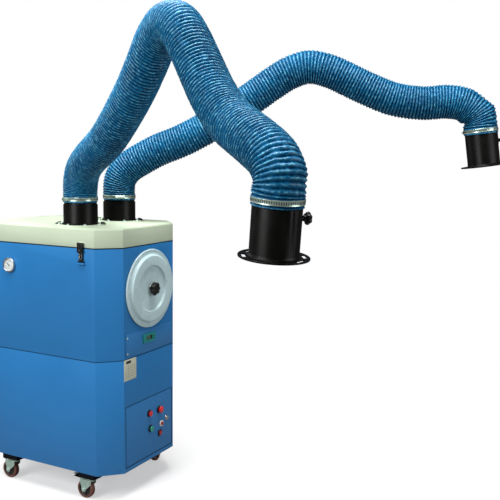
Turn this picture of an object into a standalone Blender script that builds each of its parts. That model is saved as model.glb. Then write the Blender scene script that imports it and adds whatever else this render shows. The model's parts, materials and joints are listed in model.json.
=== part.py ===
"""Mobile fume extractor with two jointed suction arms, modelled as an assembly.

The cabinet stands on four casters. Its front (filter door and controls) faces -Y, and +Z is up.
Each arm is a skeleton of hinged links inside a 160 mm hose, and it is built in its own frame:
+X points away from the cabinet, Z is up and Y is the axis of the shoulder, elbow and wrist.
All lengths are in metres.
"""
import bpy
import bmesh
from math import cos, pi, radians, sin
from mathutils import Euler, Matrix, Vector

# ---------------------------------------------------------------- driving dimensions
CABINET_AT = (0.0585, 0.7043)    # cabinet centre, so that the whole object is centred on the origin
WIDTH = 0.575                   # cabinet, along X
DEPTH = 0.780                   # cabinet, along Y
CORNER = 0.090                  # chamfer of the four upright corners
BASE_Z = 0.130                  # underside of the cabinet
SEAM_Z = 0.660                  # joint between lower and upper cabinet
RIM_Z = 1.170                   # joint between upper cabinet and top cover
TOP_Z = 1.255                   # top of the cover
SHEET = 0.003                   # wall thickness
GAP = 0.0003                    # air left between pieces that touch

DOOR_R = 0.184                  # round filter door
DOOR_Z = 0.963
FILTER_R = 0.150
FILTER_OPENING_R = 0.165
PARTITION_Y = 0.020             # wall between dusty and clean air

STRIP_W, STRIP_LOW, STRIP_HIGH = 0.366, 0.6665, 0.7745
PANEL_W, PANEL_LOW, PANEL_HIGH = 0.370, 0.153, 0.437
PANEL_GAP = 0.0015

FAN_Y = 0.150                   # blower axis
INLET_R = 0.100
HOUSING_R, HOUSING_LOW, HOUSING_HIGH = 0.190, 0.330, 0.480

WHEEL_R = 0.044
CASTER_X, CASTER_Y = 0.250, 0.235
CASTER_TRAIL = 0.026
CASTER_TOP = 0.105

COLLAR_X, COLLAR_Y = 0.145, -0.109
COLLAR_R = 0.0785
SPIGOT_R = 0.0745               # tube end that the hose slips over
SHOULDER_Z = 1.500
UPPER_LEN = 1.046
FORE_LEN = 0.832
HOSE_R = 0.080                  # outside of the hose
HOSE_WALL = 0.0030
HOOD_HOSE_END = 0.117           # hose end, below the wrist
HOOD_TOP = 0.078                # hood tube, below the wrist
HOOD_BOTTOM = 0.268
HOOD_RING_R = 0.106
DAMPER_DROP = 0.155
DAMPER_R = 0.0675

# One entry per arm. Angles in degrees: heading of the arm about Z, elevation of both links,
# lean of the hood from the vertical, and the direction of the damper's knob in the arm's frame.
# The route is the hose's centre line in the arm's plane, as (reach, height), and the cuts are
# the reaches at which the hose passes from one moving section to the next.
ARMS = {
    "left": {
        "side": -1, "heading": -120.0, "upper": 28.2, "fore": -31.7, "lean": 5.7, "knob": 82.5,
        "route": [(0.000, 1.360), (0.000, 1.420), (0.012, 1.470), (0.055, 1.520), (0.139, 1.564),
                  (0.239, 1.601), (0.343, 1.645), (0.448, 1.706), (0.547, 1.770), (0.647, 1.842),
                  (0.739, 1.921), (0.820, 1.994), (0.910, 2.036), (0.999, 2.021), (1.073, 1.958),
                  (1.145, 1.878), (1.218, 1.796), (1.291, 1.729), (1.369, 1.679), (1.448, 1.644),
                  (1.528, 1.609), (1.590, 1.575)],
        "cuts": (0.140, 0.775, 1.090, 1.530),
    },
    "right": {
        "side": 1, "heading": -67.0, "upper": 29.5, "fore": -14.2, "lean": -8.1, "knob": 7.5,
        "route": [(0.000, 1.360), (0.000, 1.420), (0.008, 1.465), (0.042, 1.512), (0.109, 1.556),
                  (0.199, 1.604), (0.309, 1.649), (0.418, 1.705), (0.537, 1.780), (0.647, 1.852),
                  (0.746, 1.922), (0.831, 1.974), (0.920, 2.001), (1.014, 1.984), (1.105, 1.945),
                  (1.194, 1.904), (1.322, 1.855), (1.457, 1.837), (1.566, 1.844), (1.645, 1.833),
                  (1.695, 1.800)],
        "cuts": (0.140, 0.770, 1.070, 1.600),
    },
}

PAINTS = {                      # colour, roughness, metallic
    "blue_paint": ((0.045, 0.20, 0.52), 0.45, 0.0),
    "cream_paint": ((0.56, 0.60, 0.45), 0.50, 0.0),
    "door_paint": ((0.42, 0.50, 0.50), 0.45, 0.1),
    "black_paint": ((0.012, 0.012, 0.011), 0.40, 0.0),
    "zinc": ((0.50, 0.56, 0.50), 0.35, 0.9),
    "steel": ((0.55, 0.56, 0.55), 0.30, 1.0),
    "aluminium": ((0.62, 0.63, 0.64), 0.35, 1.0),
    "cast_iron": ((0.08, 0.10, 0.11), 0.60, 0.4),
    "tread": ((0.17, 0.055, 0.045), 0.60, 0.0),
    "hose": ((0.02, 0.15, 0.42), 0.45, 0.0),
    "red_plastic": ((0.55, 0.02, 0.02), 0.30, 0.0),
    "green_plastic": ((0.02, 0.30, 0.08), 0.30, 0.0),
    "black_plastic": ((0.010, 0.010, 0.010), 0.45, 0.0),
    "filter_paper": ((0.72, 0.72, 0.66), 0.85, 0.0),
}

# ---------------------------------------------------------------- scene and helpers
for old in list(bpy.data.objects):
    bpy.data.objects.remove(old, do_unlink=True)


def new_collection(name):
    made = bpy.data.collections.new(name)
    bpy.context.scene.collection.children.link(made)
    return made


PARTS = new_collection("fume_extractor")
CUTTERS = new_collection("cutters")


def paint(name, node):
    """A Principled material of its own for each sub-part."""
    colour, roughness, metallic = PAINTS[name]
    made = bpy.data.materials.new(f"{node}_{name}")
    made.use_nodes = True
    shader = made.node_tree.nodes["Principled BSDF"]
    shader.inputs["Base Color"].default_value = (*colour, 1.0)
    shader.inputs["Roughness"].default_value = roughness
    shader.inputs["Metallic"].default_value = metallic
    return made


def add_empty(name, at, parent=None, turn=(0.0, 0.0, 0.0)):
    made = bpy.data.objects.new(name, None)
    PARTS.objects.link(made)
    made.parent = parent
    made.location = at
    made.rotation_euler = Euler([radians(angle) for angle in turn])
    return made


def add_piece(name, mesh, colour, parent, at=(0, 0, 0), turn=(0, 0, 0)):
    """One sub-part: its mesh is drawn around its own origin, which lies on its joint's axis."""
    made = bpy.data.objects.new(name, mesh)
    PARTS.objects.link(made)
    made.data.materials.append(paint(colour, name))
    made.parent = parent
    made.location = at
    made.rotation_euler = Euler([radians(angle) for angle in turn])
    return made


def apply_tool(piece, mesh, operation):
    """Boolean against a tool mesh that is drawn in the piece's own frame."""
    tool = bpy.data.objects.new(f"tool_{len(CUTTERS.objects):03d}", mesh)
    CUTTERS.objects.link(tool)
    tool.parent = piece
    tool.hide_render = True
    tool.display_type = "WIRE"
    step = piece.modifiers.new(operation.lower(), "BOOLEAN")
    step.operation = operation
    step.object = tool
    step.solver = "EXACT"


def join(piece, mesh):
    apply_tool(piece, mesh, "UNION")


def cut(piece, mesh):
    apply_tool(piece, mesh, "DIFFERENCE")


def to_mesh(shape, smooth=False):
    mesh = bpy.data.meshes.new("shape")
    shape.to_mesh(mesh)
    shape.free()
    if smooth:
        mesh.shade_smooth()
        mesh.set_sharp_from_angle(angle=radians(35))
    return mesh


def box(size, centre=(0, 0, 0), turn=(0, 0, 0)):
    shape = bmesh.new()
    spin = Euler([radians(angle) for angle in turn]).to_matrix().to_4x4()
    place = Matrix.Translation(centre) @ spin @ Matrix.Diagonal((*size, 1.0))
    bmesh.ops.create_cube(shape, size=1.0, matrix=place)
    return to_mesh(shape)


def span_box(low, high):
    """A box between two opposite corners."""
    size = [b - a for a, b in zip(low, high)]
    centre = [(a + b) / 2 for a, b in zip(low, high)]
    return box(size, centre)


AXIS_TURN = {"X": (0, 90, 0), "Y": (90, 0, 0), "Z": (0, 0, 0)}


def cylinder(radius, length, centre=(0, 0, 0), axis="Z", segments=16, end_radius=None):
    shape = bmesh.new()
    spin = Euler([radians(angle) for angle in AXIS_TURN[axis]]).to_matrix().to_4x4()
    bmesh.ops.create_cone(shape, cap_ends=True, segments=segments, radius1=radius,
                          radius2=radius if end_radius is None else end_radius, depth=length,
                          matrix=Matrix.Translation(centre) @ spin)
    return to_mesh(shape, smooth=True)


def lobed_disc(radius, lobes, depth, centre=(0, 0, 0), per_lobe=4):
    """A hand knob's outline: a disc whose radius swells and shrinks once per lobe."""
    shape = bmesh.new()
    bmesh.ops.create_cone(shape, cap_ends=True, segments=lobes * per_lobe, radius1=1.0,
                          radius2=1.0, depth=depth)
    for vert in shape.verts:
        flat = Vector((vert.co.x, vert.co.y))
        phase = lobes * flat.angle_signed(Vector((1.0, 0.0)))
        reach = radius * (0.87 + 0.13 * cos(phase))
        vert.co.x *= reach
        vert.co.y *= reach
        vert.co += Vector(centre)
    return to_mesh(shape)


def octagon_prism(width, depth, low, high, corner, top_bevel=0.0):
    """A box with its four upright edges chamfered, and optionally a rounded top edge."""
    shape = bmesh.new()
    scale = Matrix.Diagonal((width, depth, high - low, 1.0))
    place = Matrix.Translation((0, 0, (low + high) / 2)) @ scale
    bmesh.ops.create_cube(shape, size=1.0, matrix=place)
    upright = [edge for edge in shape.edges
               if abs(edge.verts[0].co.z - edge.verts[1].co.z) > 0.001]
    bmesh.ops.bevel(shape, geom=upright, offset=corner, segments=1, affect="EDGES")
    if top_bevel:
        crown = [edge for edge in shape.edges
                 if all(vert.co.z > high - 1e-5 for vert in edge.verts)]
        bmesh.ops.bevel(shape, geom=crown, offset=top_bevel, segments=2, affect="EDGES")
    return to_mesh(shape)


def add_turned(name, profile, colour, parent, at=(0, 0, 0), turn=(0, 0, 0), closed=False, steps=24):
    """A turned piece: (radius, height) points down the outer side, spun about the local Z axis."""
    mesh = bpy.data.meshes.new(name)
    count = len(profile)
    edges = [(i, i + 1) for i in range(count - 1)]
    if closed:
        edges.append((count - 1, 0))
    mesh.from_pydata([(radius, 0.0, height) for radius, height in profile], edges, [])
    made = add_piece(name, mesh, colour, parent, at, turn)
    screw = made.modifiers.new("turn", "SCREW")
    screw.steps = steps
    screw.render_steps = steps
    screw.use_merge_vertices = True
    screw.merge_threshold = 0.0001
    screw.use_smooth_shade = True
    return made


# ---------------------------------------------------------------- cabinet
CABINET = add_empty("cabinet_frame", (*CABINET_AT, 0.0))
FRONT_Y = -DEPTH / 2
BACK_Y = DEPTH / 2


def build_lower_cabinet():
    body = add_piece("lower_cabinet", octagon_prism(WIDTH, DEPTH, BASE_Z, SEAM_Z - GAP, CORNER),
                     "blue_paint", CABINET)
    inner_corner = CORNER - 0.6 * SHEET
    cut(body, octagon_prism(WIDTH - 2 * SHEET, DEPTH - 2 * SHEET, BASE_Z + SHEET, SEAM_Z + 0.05,
                            inner_corner))
    half_w = PANEL_W / 2 + PANEL_GAP
    cut(body, span_box((-half_w, FRONT_Y - 0.02, PANEL_LOW - PANEL_GAP),
                       (half_w, FRONT_Y + 0.02, PANEL_HIGH + PANEL_GAP)))
    cut(body, span_box((0.010, BACK_Y - 0.02, 0.31), (0.187, BACK_Y + 0.02, 0.49)))
    cut(body, cylinder(0.0105, 0.04, (-0.17, BACK_Y, 0.21), "Y", 16))
    for x in (-CASTER_X, CASTER_X):
        for y in (-CASTER_Y, CASTER_Y):
            join(body, span_box((x - 0.033, y - 0.045, CASTER_TOP),
                                (x + 0.033, y + 0.045, BASE_Z + 0.001)))


def build_upper_cabinet():
    body = add_piece("upper_cabinet", octagon_prism(WIDTH, DEPTH, SEAM_Z, RIM_Z - GAP, CORNER),
                     "blue_paint", CABINET)
    inner_corner = CORNER - 0.6 * SHEET
    cut(body, octagon_prism(WIDTH - 2 * SHEET, DEPTH - 2 * SHEET, SEAM_Z + SHEET, RIM_Z + 0.05,
                            inner_corner))
    join(body, span_box((-WIDTH / 2 + 0.001, PARTITION_Y, SEAM_Z + 0.001),
                        (WIDTH / 2 - 0.001, PARTITION_Y + 0.002, RIM_Z - 0.004)))
    cut(body, cylinder(0.075, 0.02, (0, PARTITION_Y, DOOR_Z), "Y", 24))
    cut(body, cylinder(FILTER_OPENING_R, 0.02, (0, FRONT_Y, DOOR_Z), "Y", 36))
    cut(body, cylinder(INLET_R, 0.02, (0, FAN_Y, SEAM_Z), "Z", 24))
    for side in (-1, 1):
        edge = side * WIDTH / 2
        low_x, high_x = sorted((edge - side * 0.001, edge + side * 0.009))
        join(body, span_box((low_x, -0.250, 1.094), (high_x, -0.212, 1.103)))


def build_top_cover():
    cover = add_piece("top_cover", octagon_prism(WIDTH, DEPTH, RIM_Z, TOP_Z, CORNER, top_bevel=0.004),
                      "cream_paint", CABINET)
    inner_corner = CORNER - 0.6 * SHEET
    cut(cover, octagon_prism(WIDTH - 2 * SHEET, DEPTH - 2 * SHEET, RIM_Z - 0.05, TOP_Z - SHEET,
                             inner_corner, top_bevel=0.0035))
    for side in (-1, 1):
        centre = (side * COLLAR_X, COLLAR_Y)
        join(cover, cylinder(0.112, 0.006, (*centre, TOP_Z + 0.001), "Z", 24))
        cut(cover, cylinder(0.066, 0.04, (*centre, TOP_Z), "Z", 24))
        edge = side * WIDTH / 2
        low_x, high_x = sorted((edge - side * 0.001, edge + side * 0.006))
        join(cover, span_box((low_x, -0.245, 1.188), (high_x, -0.217, 1.194)))


def build_filter_unit():
    """Round door with its hand knob, and the cartridge that hangs on the door's back."""
    frame = add_empty("filter_door_axis", (0, FRONT_Y, DOOR_Z), CABINET, (90, 0, 0))
    skin = 0.002
    face = [(0.0, 0.0115), (0.103, 0.0115), (0.110, 0.0215), (0.152, 0.0215), (0.161, 0.0080),
            (DOOR_R, 0.0070)]
    back = [(DOOR_R, GAP), (0.159, 0.0080 - skin), (0.150, 0.0215 - skin), (0.112, 0.0215 - skin),
            (0.105, 0.0115 - skin), (0.0, 0.0115 - skin)]
    door = add_turned("filter_door", face + back, "door_paint", frame, steps=28)
    cartridge_front = 0.020
    stud_low, stud_high = GAP - cartridge_front, 0.010
    join(door, cylinder(0.006, stud_high - stud_low, (0, 0, (stud_low + stud_high) / 2), "Z", 12))
    knob = add_piece("filter_knob", lobed_disc(0.0325, 7, 0.026, (0, 0, 0.0335)),
                     "black_plastic", frame)
    join(knob, cylinder(0.012, 0.0110, (0, 0, 0.0173), "Z", 12, end_radius=0.015))
    length = PARTITION_Y - GAP - FRONT_Y - cartridge_front
    rear = -cartridge_front - length
    add_turned("filter_cartridge",
               [(0.0, -cartridge_front), (FILTER_R, -cartridge_front), (FILTER_R, rear),
                (0.085, rear), (0.085, -cartridge_front - 0.006), (0.0, -cartridge_front - 0.006)],
               "filter_paper", frame)


def build_display():
    strip = add_piece("display_panel",
                      span_box((-STRIP_W / 2, FRONT_Y - GAP - 0.002, STRIP_LOW),
                               (STRIP_W / 2, FRONT_Y - GAP, STRIP_HIGH)), "blue_paint", CABINET)
    join(strip, span_box((-0.058, FRONT_Y - 0.009, 0.711), (0.038, FRONT_Y - 0.001, 0.751)))


def build_gauge():
    axis = add_empty("gauge_axis", (-WIDTH / 2 - GAP, 0.198, 1.062), CABINET, (0, -90, 0))
    add_turned("pressure_gauge",
               [(0.0, 0.0065), (0.0305, 0.0065), (0.0305, 0.0110), (0.0350, 0.0110),
                (0.0350, 0.0020), (0.033, 0.0), (0.0, 0.0)], "zinc", axis)
    needle = add_piece("gauge_needle", box((0.0300, 0.0016, 0.0010), (0.007, 0, 0.0082)),
                       "black_plastic", axis, turn=(0, 0, 60))
    join(needle, cylinder(0.0030, 0.0020, (0, 0, 0.0082), "Z", 12))


def build_latches():
    for side, label in ((-1, "left"), (1, "right")):
        hinge_x = side * (WIDTH / 2 + 0.0045)
        plate = box((0.0050, 0.030, 0.068), (side * 0.0005, 0, 0.040))
        lever = add_piece(f"{label}_latch", plate, "black_plastic", CABINET,
                          (hinge_x, -0.231, 1.108))
        join(lever, cylinder(0.0040, 0.034, (0, 0, 0), "Y", 12))
        join(lever, box((0.0050, 0.022, 0.008), (0, 0, 0.004)))
        join(lever, box((0.0100, 0.028, 0.034), (side * 0.0060, 0, 0.0575)))


def build_control_door():
    """Hinged panel: its axis runs up its left outer edge, and it carries the controls."""
    hinge = add_empty("control_door_axis", (-PANEL_W / 2, FRONT_Y, 0), CABINET)
    door = add_piece("control_door", span_box((0, 0, PANEL_LOW), (PANEL_W, SHEET, PANEL_HIGH)),
                     "blue_paint", hinge)
    controls = {                    # reach from the hinge, height, bore radius, bezel radius
        "stop_button": (0.180, 0.360, 0.0075, 0.0175),
        "start_button": (0.189, 0.283, 0.0075, 0.0175),
        "emergency_stop": (0.260, 0.358, 0.0095, 0.0175),
        "door_lock": (0.322, 0.299, 0.0090, 0.0140),
    }
    for x, z, bore, bezel in controls.values():
        join(door, cylinder(bezel, 0.0050, (x, -0.0020, z), "Y", 16))
        cut(door, cylinder(bore, 0.030, (x, 0, z), "Y", 12))
    for node, colour, cap_r, cap_out in (("stop_button", "red_plastic", 0.0135, 0.0135),
                                         ("start_button", "green_plastic", 0.0135, 0.0135),
                                         ("emergency_stop", "red_plastic", 0.0170, 0.0220)):
        x, z, bore, bezel = controls[node]
        stem_r = bore - 0.0008
        cap_low = 0.0085            # clearance to the bezel for the push
        profile = [(0.0, cap_out), (cap_r - 0.002, cap_out), (cap_r, cap_out - 0.002),
                   (cap_r, cap_low), (stem_r, cap_low), (stem_r, -0.026), (0.0, -0.026)]
        add_turned(node, profile, colour, hinge, (x, 0, z), (90, 0, 0), steps=16)
    x, z, bore, bezel = controls["door_lock"]
    lock = add_turned("door_lock",
                      [(0.0, 0.0085), (0.0115, 0.0085), (0.0115, 0.0050), (bore - 0.0008, 0.0048),
                       (bore - 0.0008, -0.012), (0.0, -0.012)],
                      "steel", hinge, (x, 0, z), (90, 0, 0), steps=16)
    cut(lock, box((0.0016, 0.0090, 0.004), (0, 0, 0.0085)))
    join(lock, box((0.012, 0.052, 0.0020), (0, -0.020, -0.0105)))


def build_blower():
    """Centrifugal fan on an upright motor: inlet above, outlet duct to the rear."""
    frame = add_empty("blower_axis", (0, FAN_Y, 0), CABINET)
    wall = 0.002
    housing = add_piece("blower_housing",
                        cylinder(HOUSING_R, HOUSING_HIGH - HOUSING_LOW,
                                 (0, 0, (HOUSING_HIGH + HOUSING_LOW) / 2), "Z", 24), "zinc", frame)
    reach = BACK_Y - FAN_Y - SHEET - 0.001
    join(housing, span_box((0.02, 0.02, HOUSING_LOW + 0.010),
                           (HOUSING_R - 0.004, reach, HOUSING_HIGH - 0.010)))
    neck = INLET_R - 0.006
    join(housing, cylinder(neck, SEAM_Z - GAP - HOUSING_HIGH + 0.01,
                           (0, 0, (SEAM_Z - GAP + HOUSING_HIGH - 0.01) / 2), "Z", 24))
    cut(housing, cylinder(HOUSING_R - wall, HOUSING_HIGH - HOUSING_LOW - 2 * wall,
                          (0, 0, (HOUSING_HIGH + HOUSING_LOW) / 2), "Z", 24))
    cut(housing, span_box((0.02 + wall, 0.03, HOUSING_LOW + 0.010 + wall),
                          (HOUSING_R - 0.004 - wall, reach + 0.02, HOUSING_HIGH - 0.010 - wall)))
    cut(housing, cylinder(neck - wall, 0.30, (0, 0, HOUSING_HIGH + 0.15 - 0.01), "Z", 24))
    cut(housing, cylinder(0.030, 0.03, (0, 0, HOUSING_LOW), "Z", 12))
    motor_top = HOUSING_LOW - GAP
    floor = BASE_Z + SHEET + GAP
    motor = add_turned("blower_motor",
                       [(0.0, 0.400), (0.012, 0.400), (0.012, motor_top - 0.012),
                        (0.050, motor_top - 0.012), (0.050, motor_top), (0.088, motor_top),
                        (0.088, motor_top - 0.010), (0.080, motor_top - 0.014),
                        (0.080, floor + 0.02), (0.060, floor), (0.0, floor)],
                       "cast_iron", frame)
    join(motor, span_box((-0.11, -0.11, floor), (0.11, 0.11, floor + 0.006)))
    join(motor, span_box((-0.130, -0.035, 0.20), (-0.070, 0.035, 0.27)))
    wheel_low, wheel_high = HOUSING_LOW + 0.015, HOUSING_HIGH - 0.020
    wheel = add_turned("impeller",
                       [(0.016, wheel_high - 0.055), (0.030, wheel_high - 0.060),
                        (0.036, wheel_low + 0.003), (0.160, wheel_low + 0.003),
                        (0.160, wheel_low), (0.016, wheel_low)],
                       "aluminium", frame, closed=True, steps=20)
    blades = 8
    for index in range(blades):
        angle = 2 * pi * index / blades
        centre = (0.118 * cos(angle), 0.118 * sin(angle), (wheel_low + wheel_high) / 2 + 0.001)
        join(wheel, box((0.078, 0.002, wheel_high - wheel_low - 0.002), centre,
                        (0, 0, 360 * index / blades + 35)))


def build_rear_fittings():
    sheet = span_box((0.0, BACK_Y + GAP, 0.295), (0.1965, BACK_Y + 0.004, 0.505))
    grille = add_piece("exhaust_grille", sheet, "blue_paint", CABINET)
    slots = 8
    for index in range(slots):
        z = 0.320 + index * 0.0229
        cut(grille, span_box((0.014, BACK_Y - 0.01, z - 0.005), (0.1825, BACK_Y + 0.02, z + 0.005)))
    add_turned("cable_gland",
               [(0.0045, 0.030), (0.0090, 0.030), (0.0120, 0.024), (0.0120, 0.014), (0.0155, 0.012),
                (0.0155, GAP), (0.0095, GAP), (0.0095, -0.016), (0.0045, -0.016)],
               "black_plastic", CABINET, (-0.17, BACK_Y, 0.21), (-90, 0, 0), closed=True, steps=12)


# ---------------------------------------------------------------- casters
def build_caster(label, x, y, braked, heading=0.0):
    swivel = add_empty(f"caster_axis_{label}", (x, y, 0), CABINET, (0, 0, heading))
    plate_low = CASTER_TOP - GAP - 0.0035
    plate = add_piece(f"caster_plate_{label}",
                      span_box((-0.030, -0.042, plate_low), (0.030, 0.042, CASTER_TOP - GAP)),
                      "zinc", swivel)
    race_low = 0.0938
    join(plate, cylinder(0.021, plate_low - race_low + 0.001, (0, 0, (plate_low + race_low + 0.001) / 2)))
    crown_high = race_low - GAP
    crown_low = crown_high - 0.0035
    fork = add_piece(f"caster_fork_{label}",
                     cylinder(0.0245, crown_high - crown_low, (0, 0, (crown_high + crown_low) / 2)),
                     "zinc", swivel)
    for side in (-1, 1):
        low_x, high_x = sorted((side * 0.0175, side * 0.0205))
        join(fork, span_box((low_x, -0.016, 0.068), (high_x, 0.042, crown_high - 0.0005)))
        join(fork, span_box((low_x, CASTER_TRAIL - 0.010, WHEEL_R - 0.010),
                            (high_x, CASTER_TRAIL + 0.010, 0.070)))
    join(fork, cylinder(0.0048, 0.047, (0, CASTER_TRAIL, WHEEL_R), "X", 8))
    half = 0.0135
    add_turned(f"caster_wheel_{label}",
               [(0.0056, half - 0.002), (0.0390, half), (WHEEL_R, half - 0.0045),
                (WHEEL_R, -half + 0.0045), (0.0390, -half), (0.0056, -half + 0.002)],
               "tread", swivel, (0, CASTER_TRAIL, WHEEL_R), (0, 90, 0), closed=True, steps=20)
    if braked:
        pedal = add_piece(f"brake_pedal_{label}", cylinder(0.0040, 0.0344, (0, 0, 0), "X", 8),
                          "black_paint", swivel, (0, 0.0410, 0.0912))
        join(pedal, box((0.030, 0.052, 0.0030), (0, 0.026, 0.0022), (5, 0, 0)))
        join(pedal, box((0.026, 0.016, 0.0060), (0, 0.050, 0.0046), (5, 0, 0)))
        for side in (-1, 1):
            low_x, high_x = sorted((side * 0.0175, side * 0.0205))
            join(fork, span_box((low_x, 0.030, 0.078), (high_x, 0.0475, 0.0968)))


def build_casters():
    """Four casters. Each stands at its own heading; the wheels trail behind their swivels."""
    for label, x, y, heading in (("front_left", -1, -1, 0.0), ("front_right", 1, -1, -80.0),
                                 ("rear_left", -1, 1, 0.0), ("rear_right", 1, 1, 0.0)):
        build_caster(label, x * CASTER_X, y * CASTER_Y, y < 0, heading)


# ---------------------------------------------------------------- arms
def build_collar(label, frame):
    """Rotating collar with the shoulder's fork on a post inside it."""
    low, high = TOP_Z + 0.0043, 1.392
    collar = add_turned(f"collar_{label}",
                        [(SPIGOT_R - 0.0005, 1.350), (COLLAR_R, 1.350), (COLLAR_R, low + 0.005),
                         (0.086, low + 0.004), (0.086, low), (SPIGOT_R - 0.0005, low)],
                        "black_paint", frame, closed=True)
    spigot = cylinder(SPIGOT_R, high - 1.340, (0, 0, (high + 1.340) / 2), "Z", 24)
    join(collar, spigot)
    cut(collar, cylinder(SPIGOT_R - 0.0025, 0.30, (0, 0, 1.350), "Z", 24))
    join(collar, box((2 * SPIGOT_R - 0.003, 0.020, 0.012), (0, 0, 1.372)))
    join(collar, box((0.026, 0.034, 0.086), (0, 0, 1.415)))
    for side in (-1, 1):
        join(collar, box((0.028, 0.0062, 0.052), (0, side * 0.0120, 1.474)))
        join(collar, cylinder(0.0160, 0.006, (0, side * 0.0120, SHOULDER_Z), "Y", 12))
    join(collar, cylinder(0.0060, 0.032, (0, 0, SHOULDER_Z), "Y", 8))
    return collar


def build_link(name, frame, length, pin_gap=0.0009):
    """A link along local X: an eye at its start, a bar, and a fork with its pin at its far end."""
    link = add_piece(name, cylinder(0.0160, 0.0156, (0, 0, 0), "Y", 12), "aluminium", frame)
    join(link, box((length - 0.070, 0.0150, 0.026), ((length - 0.050) / 2, 0, 0)))
    join(link, box((0.034, 0.0300, 0.026), (length - 0.056, 0, 0)))
    for side in (-1, 1):
        join(link, box((0.050, 0.006, 0.026), (length - 0.024, side * 0.0120, 0)))
        join(link, cylinder(0.0160, 0.0064, (length, side * 0.0120, 0), "Y", 12))
    join(link, cylinder(0.0060, 0.032, (length, 0, 0), "Y", 8))
    cut(link, cylinder(0.0060 + pin_gap, 0.040, (0, 0, 0), "Y", 8))


def build_hood(label, wrist, knob_angle):
    """Suction hood: tube with a slotted guard ring, hung from the wrist by an inner bracket."""
    inner = SPIGOT_R - 0.0020
    hood = add_turned(f"hood_{label}",
                      [(inner, -HOOD_TOP), (SPIGOT_R, -HOOD_TOP),
                       (SPIGOT_R, -HOOD_BOTTOM + 0.004), (HOOD_RING_R, -HOOD_BOTTOM + 0.004),
                       (HOOD_RING_R, -HOOD_BOTTOM), (inner, -HOOD_BOTTOM)],
                      "black_paint", wrist, closed=True)
    slots = 8
    for index in range(slots):
        angle = 2 * pi * (index + 0.5) / slots
        centre = (0.0895 * cos(angle), 0.0895 * sin(angle), -HOOD_BOTTOM)
        cut(hood, box((0.013, 0.046, 0.020), centre, (0, 0, 360 * (index + 0.5) / slots)))
    join(hood, box((2 * inner + 0.002, 0.018, 0.006), (0, 0, -HOOD_TOP - 0.004)))
    join(hood, box((0.024, 0.0150, 0.073), (0, 0, -0.0455)))
    join(hood, cylinder(0.0160, 0.0156, (0, 0, 0), "Y", 12))
    cut(hood, cylinder(0.0069, 0.040, (0, 0, 0), "Y", 8))
    turn = radians(knob_angle)
    for reach in (-1, 1):
        hole = cylinder(0.0048, 0.020, (0, 0, 0), "X", 8)
        to_wall = Matrix.Rotation(turn, 4, "Z") @ Matrix.Translation((reach * SPIGOT_R, 0, 0))
        hole.transform(Matrix.Translation((0, 0, -DAMPER_DROP)) @ to_wall)
        cut(hood, hole)


def build_damper(label, wrist, knob_angle):
    """Butterfly blade on a spindle along local X, with a star knob outside the hood."""
    axis = add_empty(f"damper_axis_{label}", (0, 0, -DAMPER_DROP), wrist, (0, 0, knob_angle))
    blade = cylinder(DAMPER_R, 0.0016, (0, 0, 0), "Z", 24)
    damper = add_piece(f"damper_{label}", blade, "black_paint", axis)
    near, far = -SPIGOT_R, 0.094
    join(damper, cylinder(0.0040, far - near, ((far + near) / 2, 0, 0), "X", 8))
    knob = lobed_disc(0.0200, 6, 0.017)
    knob.transform(Matrix.Translation((0.1020, 0, 0)) @ Matrix.Rotation(pi / 2, 4, "Y"))
    join(damper, knob)


# Each hose section's ring spacing and number of sides, from the collar to the hood.
HOSE_MESH = {"shoulder": (0.038, 16), "upper": (0.150, 12), "elbow": (0.048, 12),
             "fore": (0.150, 12), "wrist": (0.036, 16)}


def smooth_route(points, per_span=4):
    """Catmull-Rom curve through the route's points."""
    padded = [points[0] * 2 - points[1], *points, points[-1] * 2 - points[-2]]
    curve = []
    for before, here, there, after in zip(padded, padded[1:], padded[2:], padded[3:]):
        for step in range(per_span):
            t = step / per_span
            linear = (there - before) * t
            square = (2 * before - 5 * here + 4 * there - after) * t ** 2
            cubic = (3 * here - before - 3 * there + after) * t ** 3
            curve.append(here + 0.5 * (linear + square + cubic))
    curve.append(points[-1].copy())
    return curve


def add_tube(name, points, frame, sides):
    """A length of hose: an open tube along the points, thickened inwards."""
    path = bpy.data.curves.new(name, "CURVE")
    path.dimensions = "3D"
    path.bevel_depth = HOSE_R
    path.bevel_resolution = (sides - 4) // 2
    path.use_fill_caps = False
    spline = path.splines.new("POLY")
    spline.points.add(len(points) - 1)
    for target, point in zip(spline.points, points):
        target.co = (point.x, 0.0, point.y, 1.0)
    guide = bpy.data.objects.new(f"{name}_guide", path)
    CUTTERS.objects.link(guide)
    bpy.context.view_layer.update()
    evaluated = guide.evaluated_get(bpy.context.evaluated_depsgraph_get())
    mesh = bpy.data.meshes.new_from_object(evaluated)
    bpy.data.objects.remove(guide, do_unlink=True)
    mesh.materials.clear()
    shape = bmesh.new()
    shape.from_mesh(mesh)
    bmesh.ops.remove_doubles(shape, verts=shape.verts, dist=1e-5)
    bmesh.ops.recalc_face_normals(shape, faces=shape.faces)
    shape.to_mesh(mesh)
    shape.free()
    tube = add_piece(name, mesh, "hose", frame)
    wall = tube.modifiers.new("wall", "SOLIDIFY")
    wall.thickness = HOSE_WALL
    wall.offset = -1.0
    return tube


def station(curve, reach):
    """The curve's point and direction where it passes this reach."""
    for a, b in zip(curve, curve[1:]):
        if a.x < reach <= b.x:
            return a.lerp(b, (reach - a.x) / (b.x - a.x)), (b - a).normalized()
    raise ValueError("the route does not pass this reach")


def between(curve, head, tail):
    """The curve's points that lie between two places on it."""
    first = min(range(len(curve)), key=lambda index: (curve[index] - head).length)
    last = min(range(len(curve)), key=lambda index: (curve[index] - tail).length)
    return curve[first + 1:last]


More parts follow.
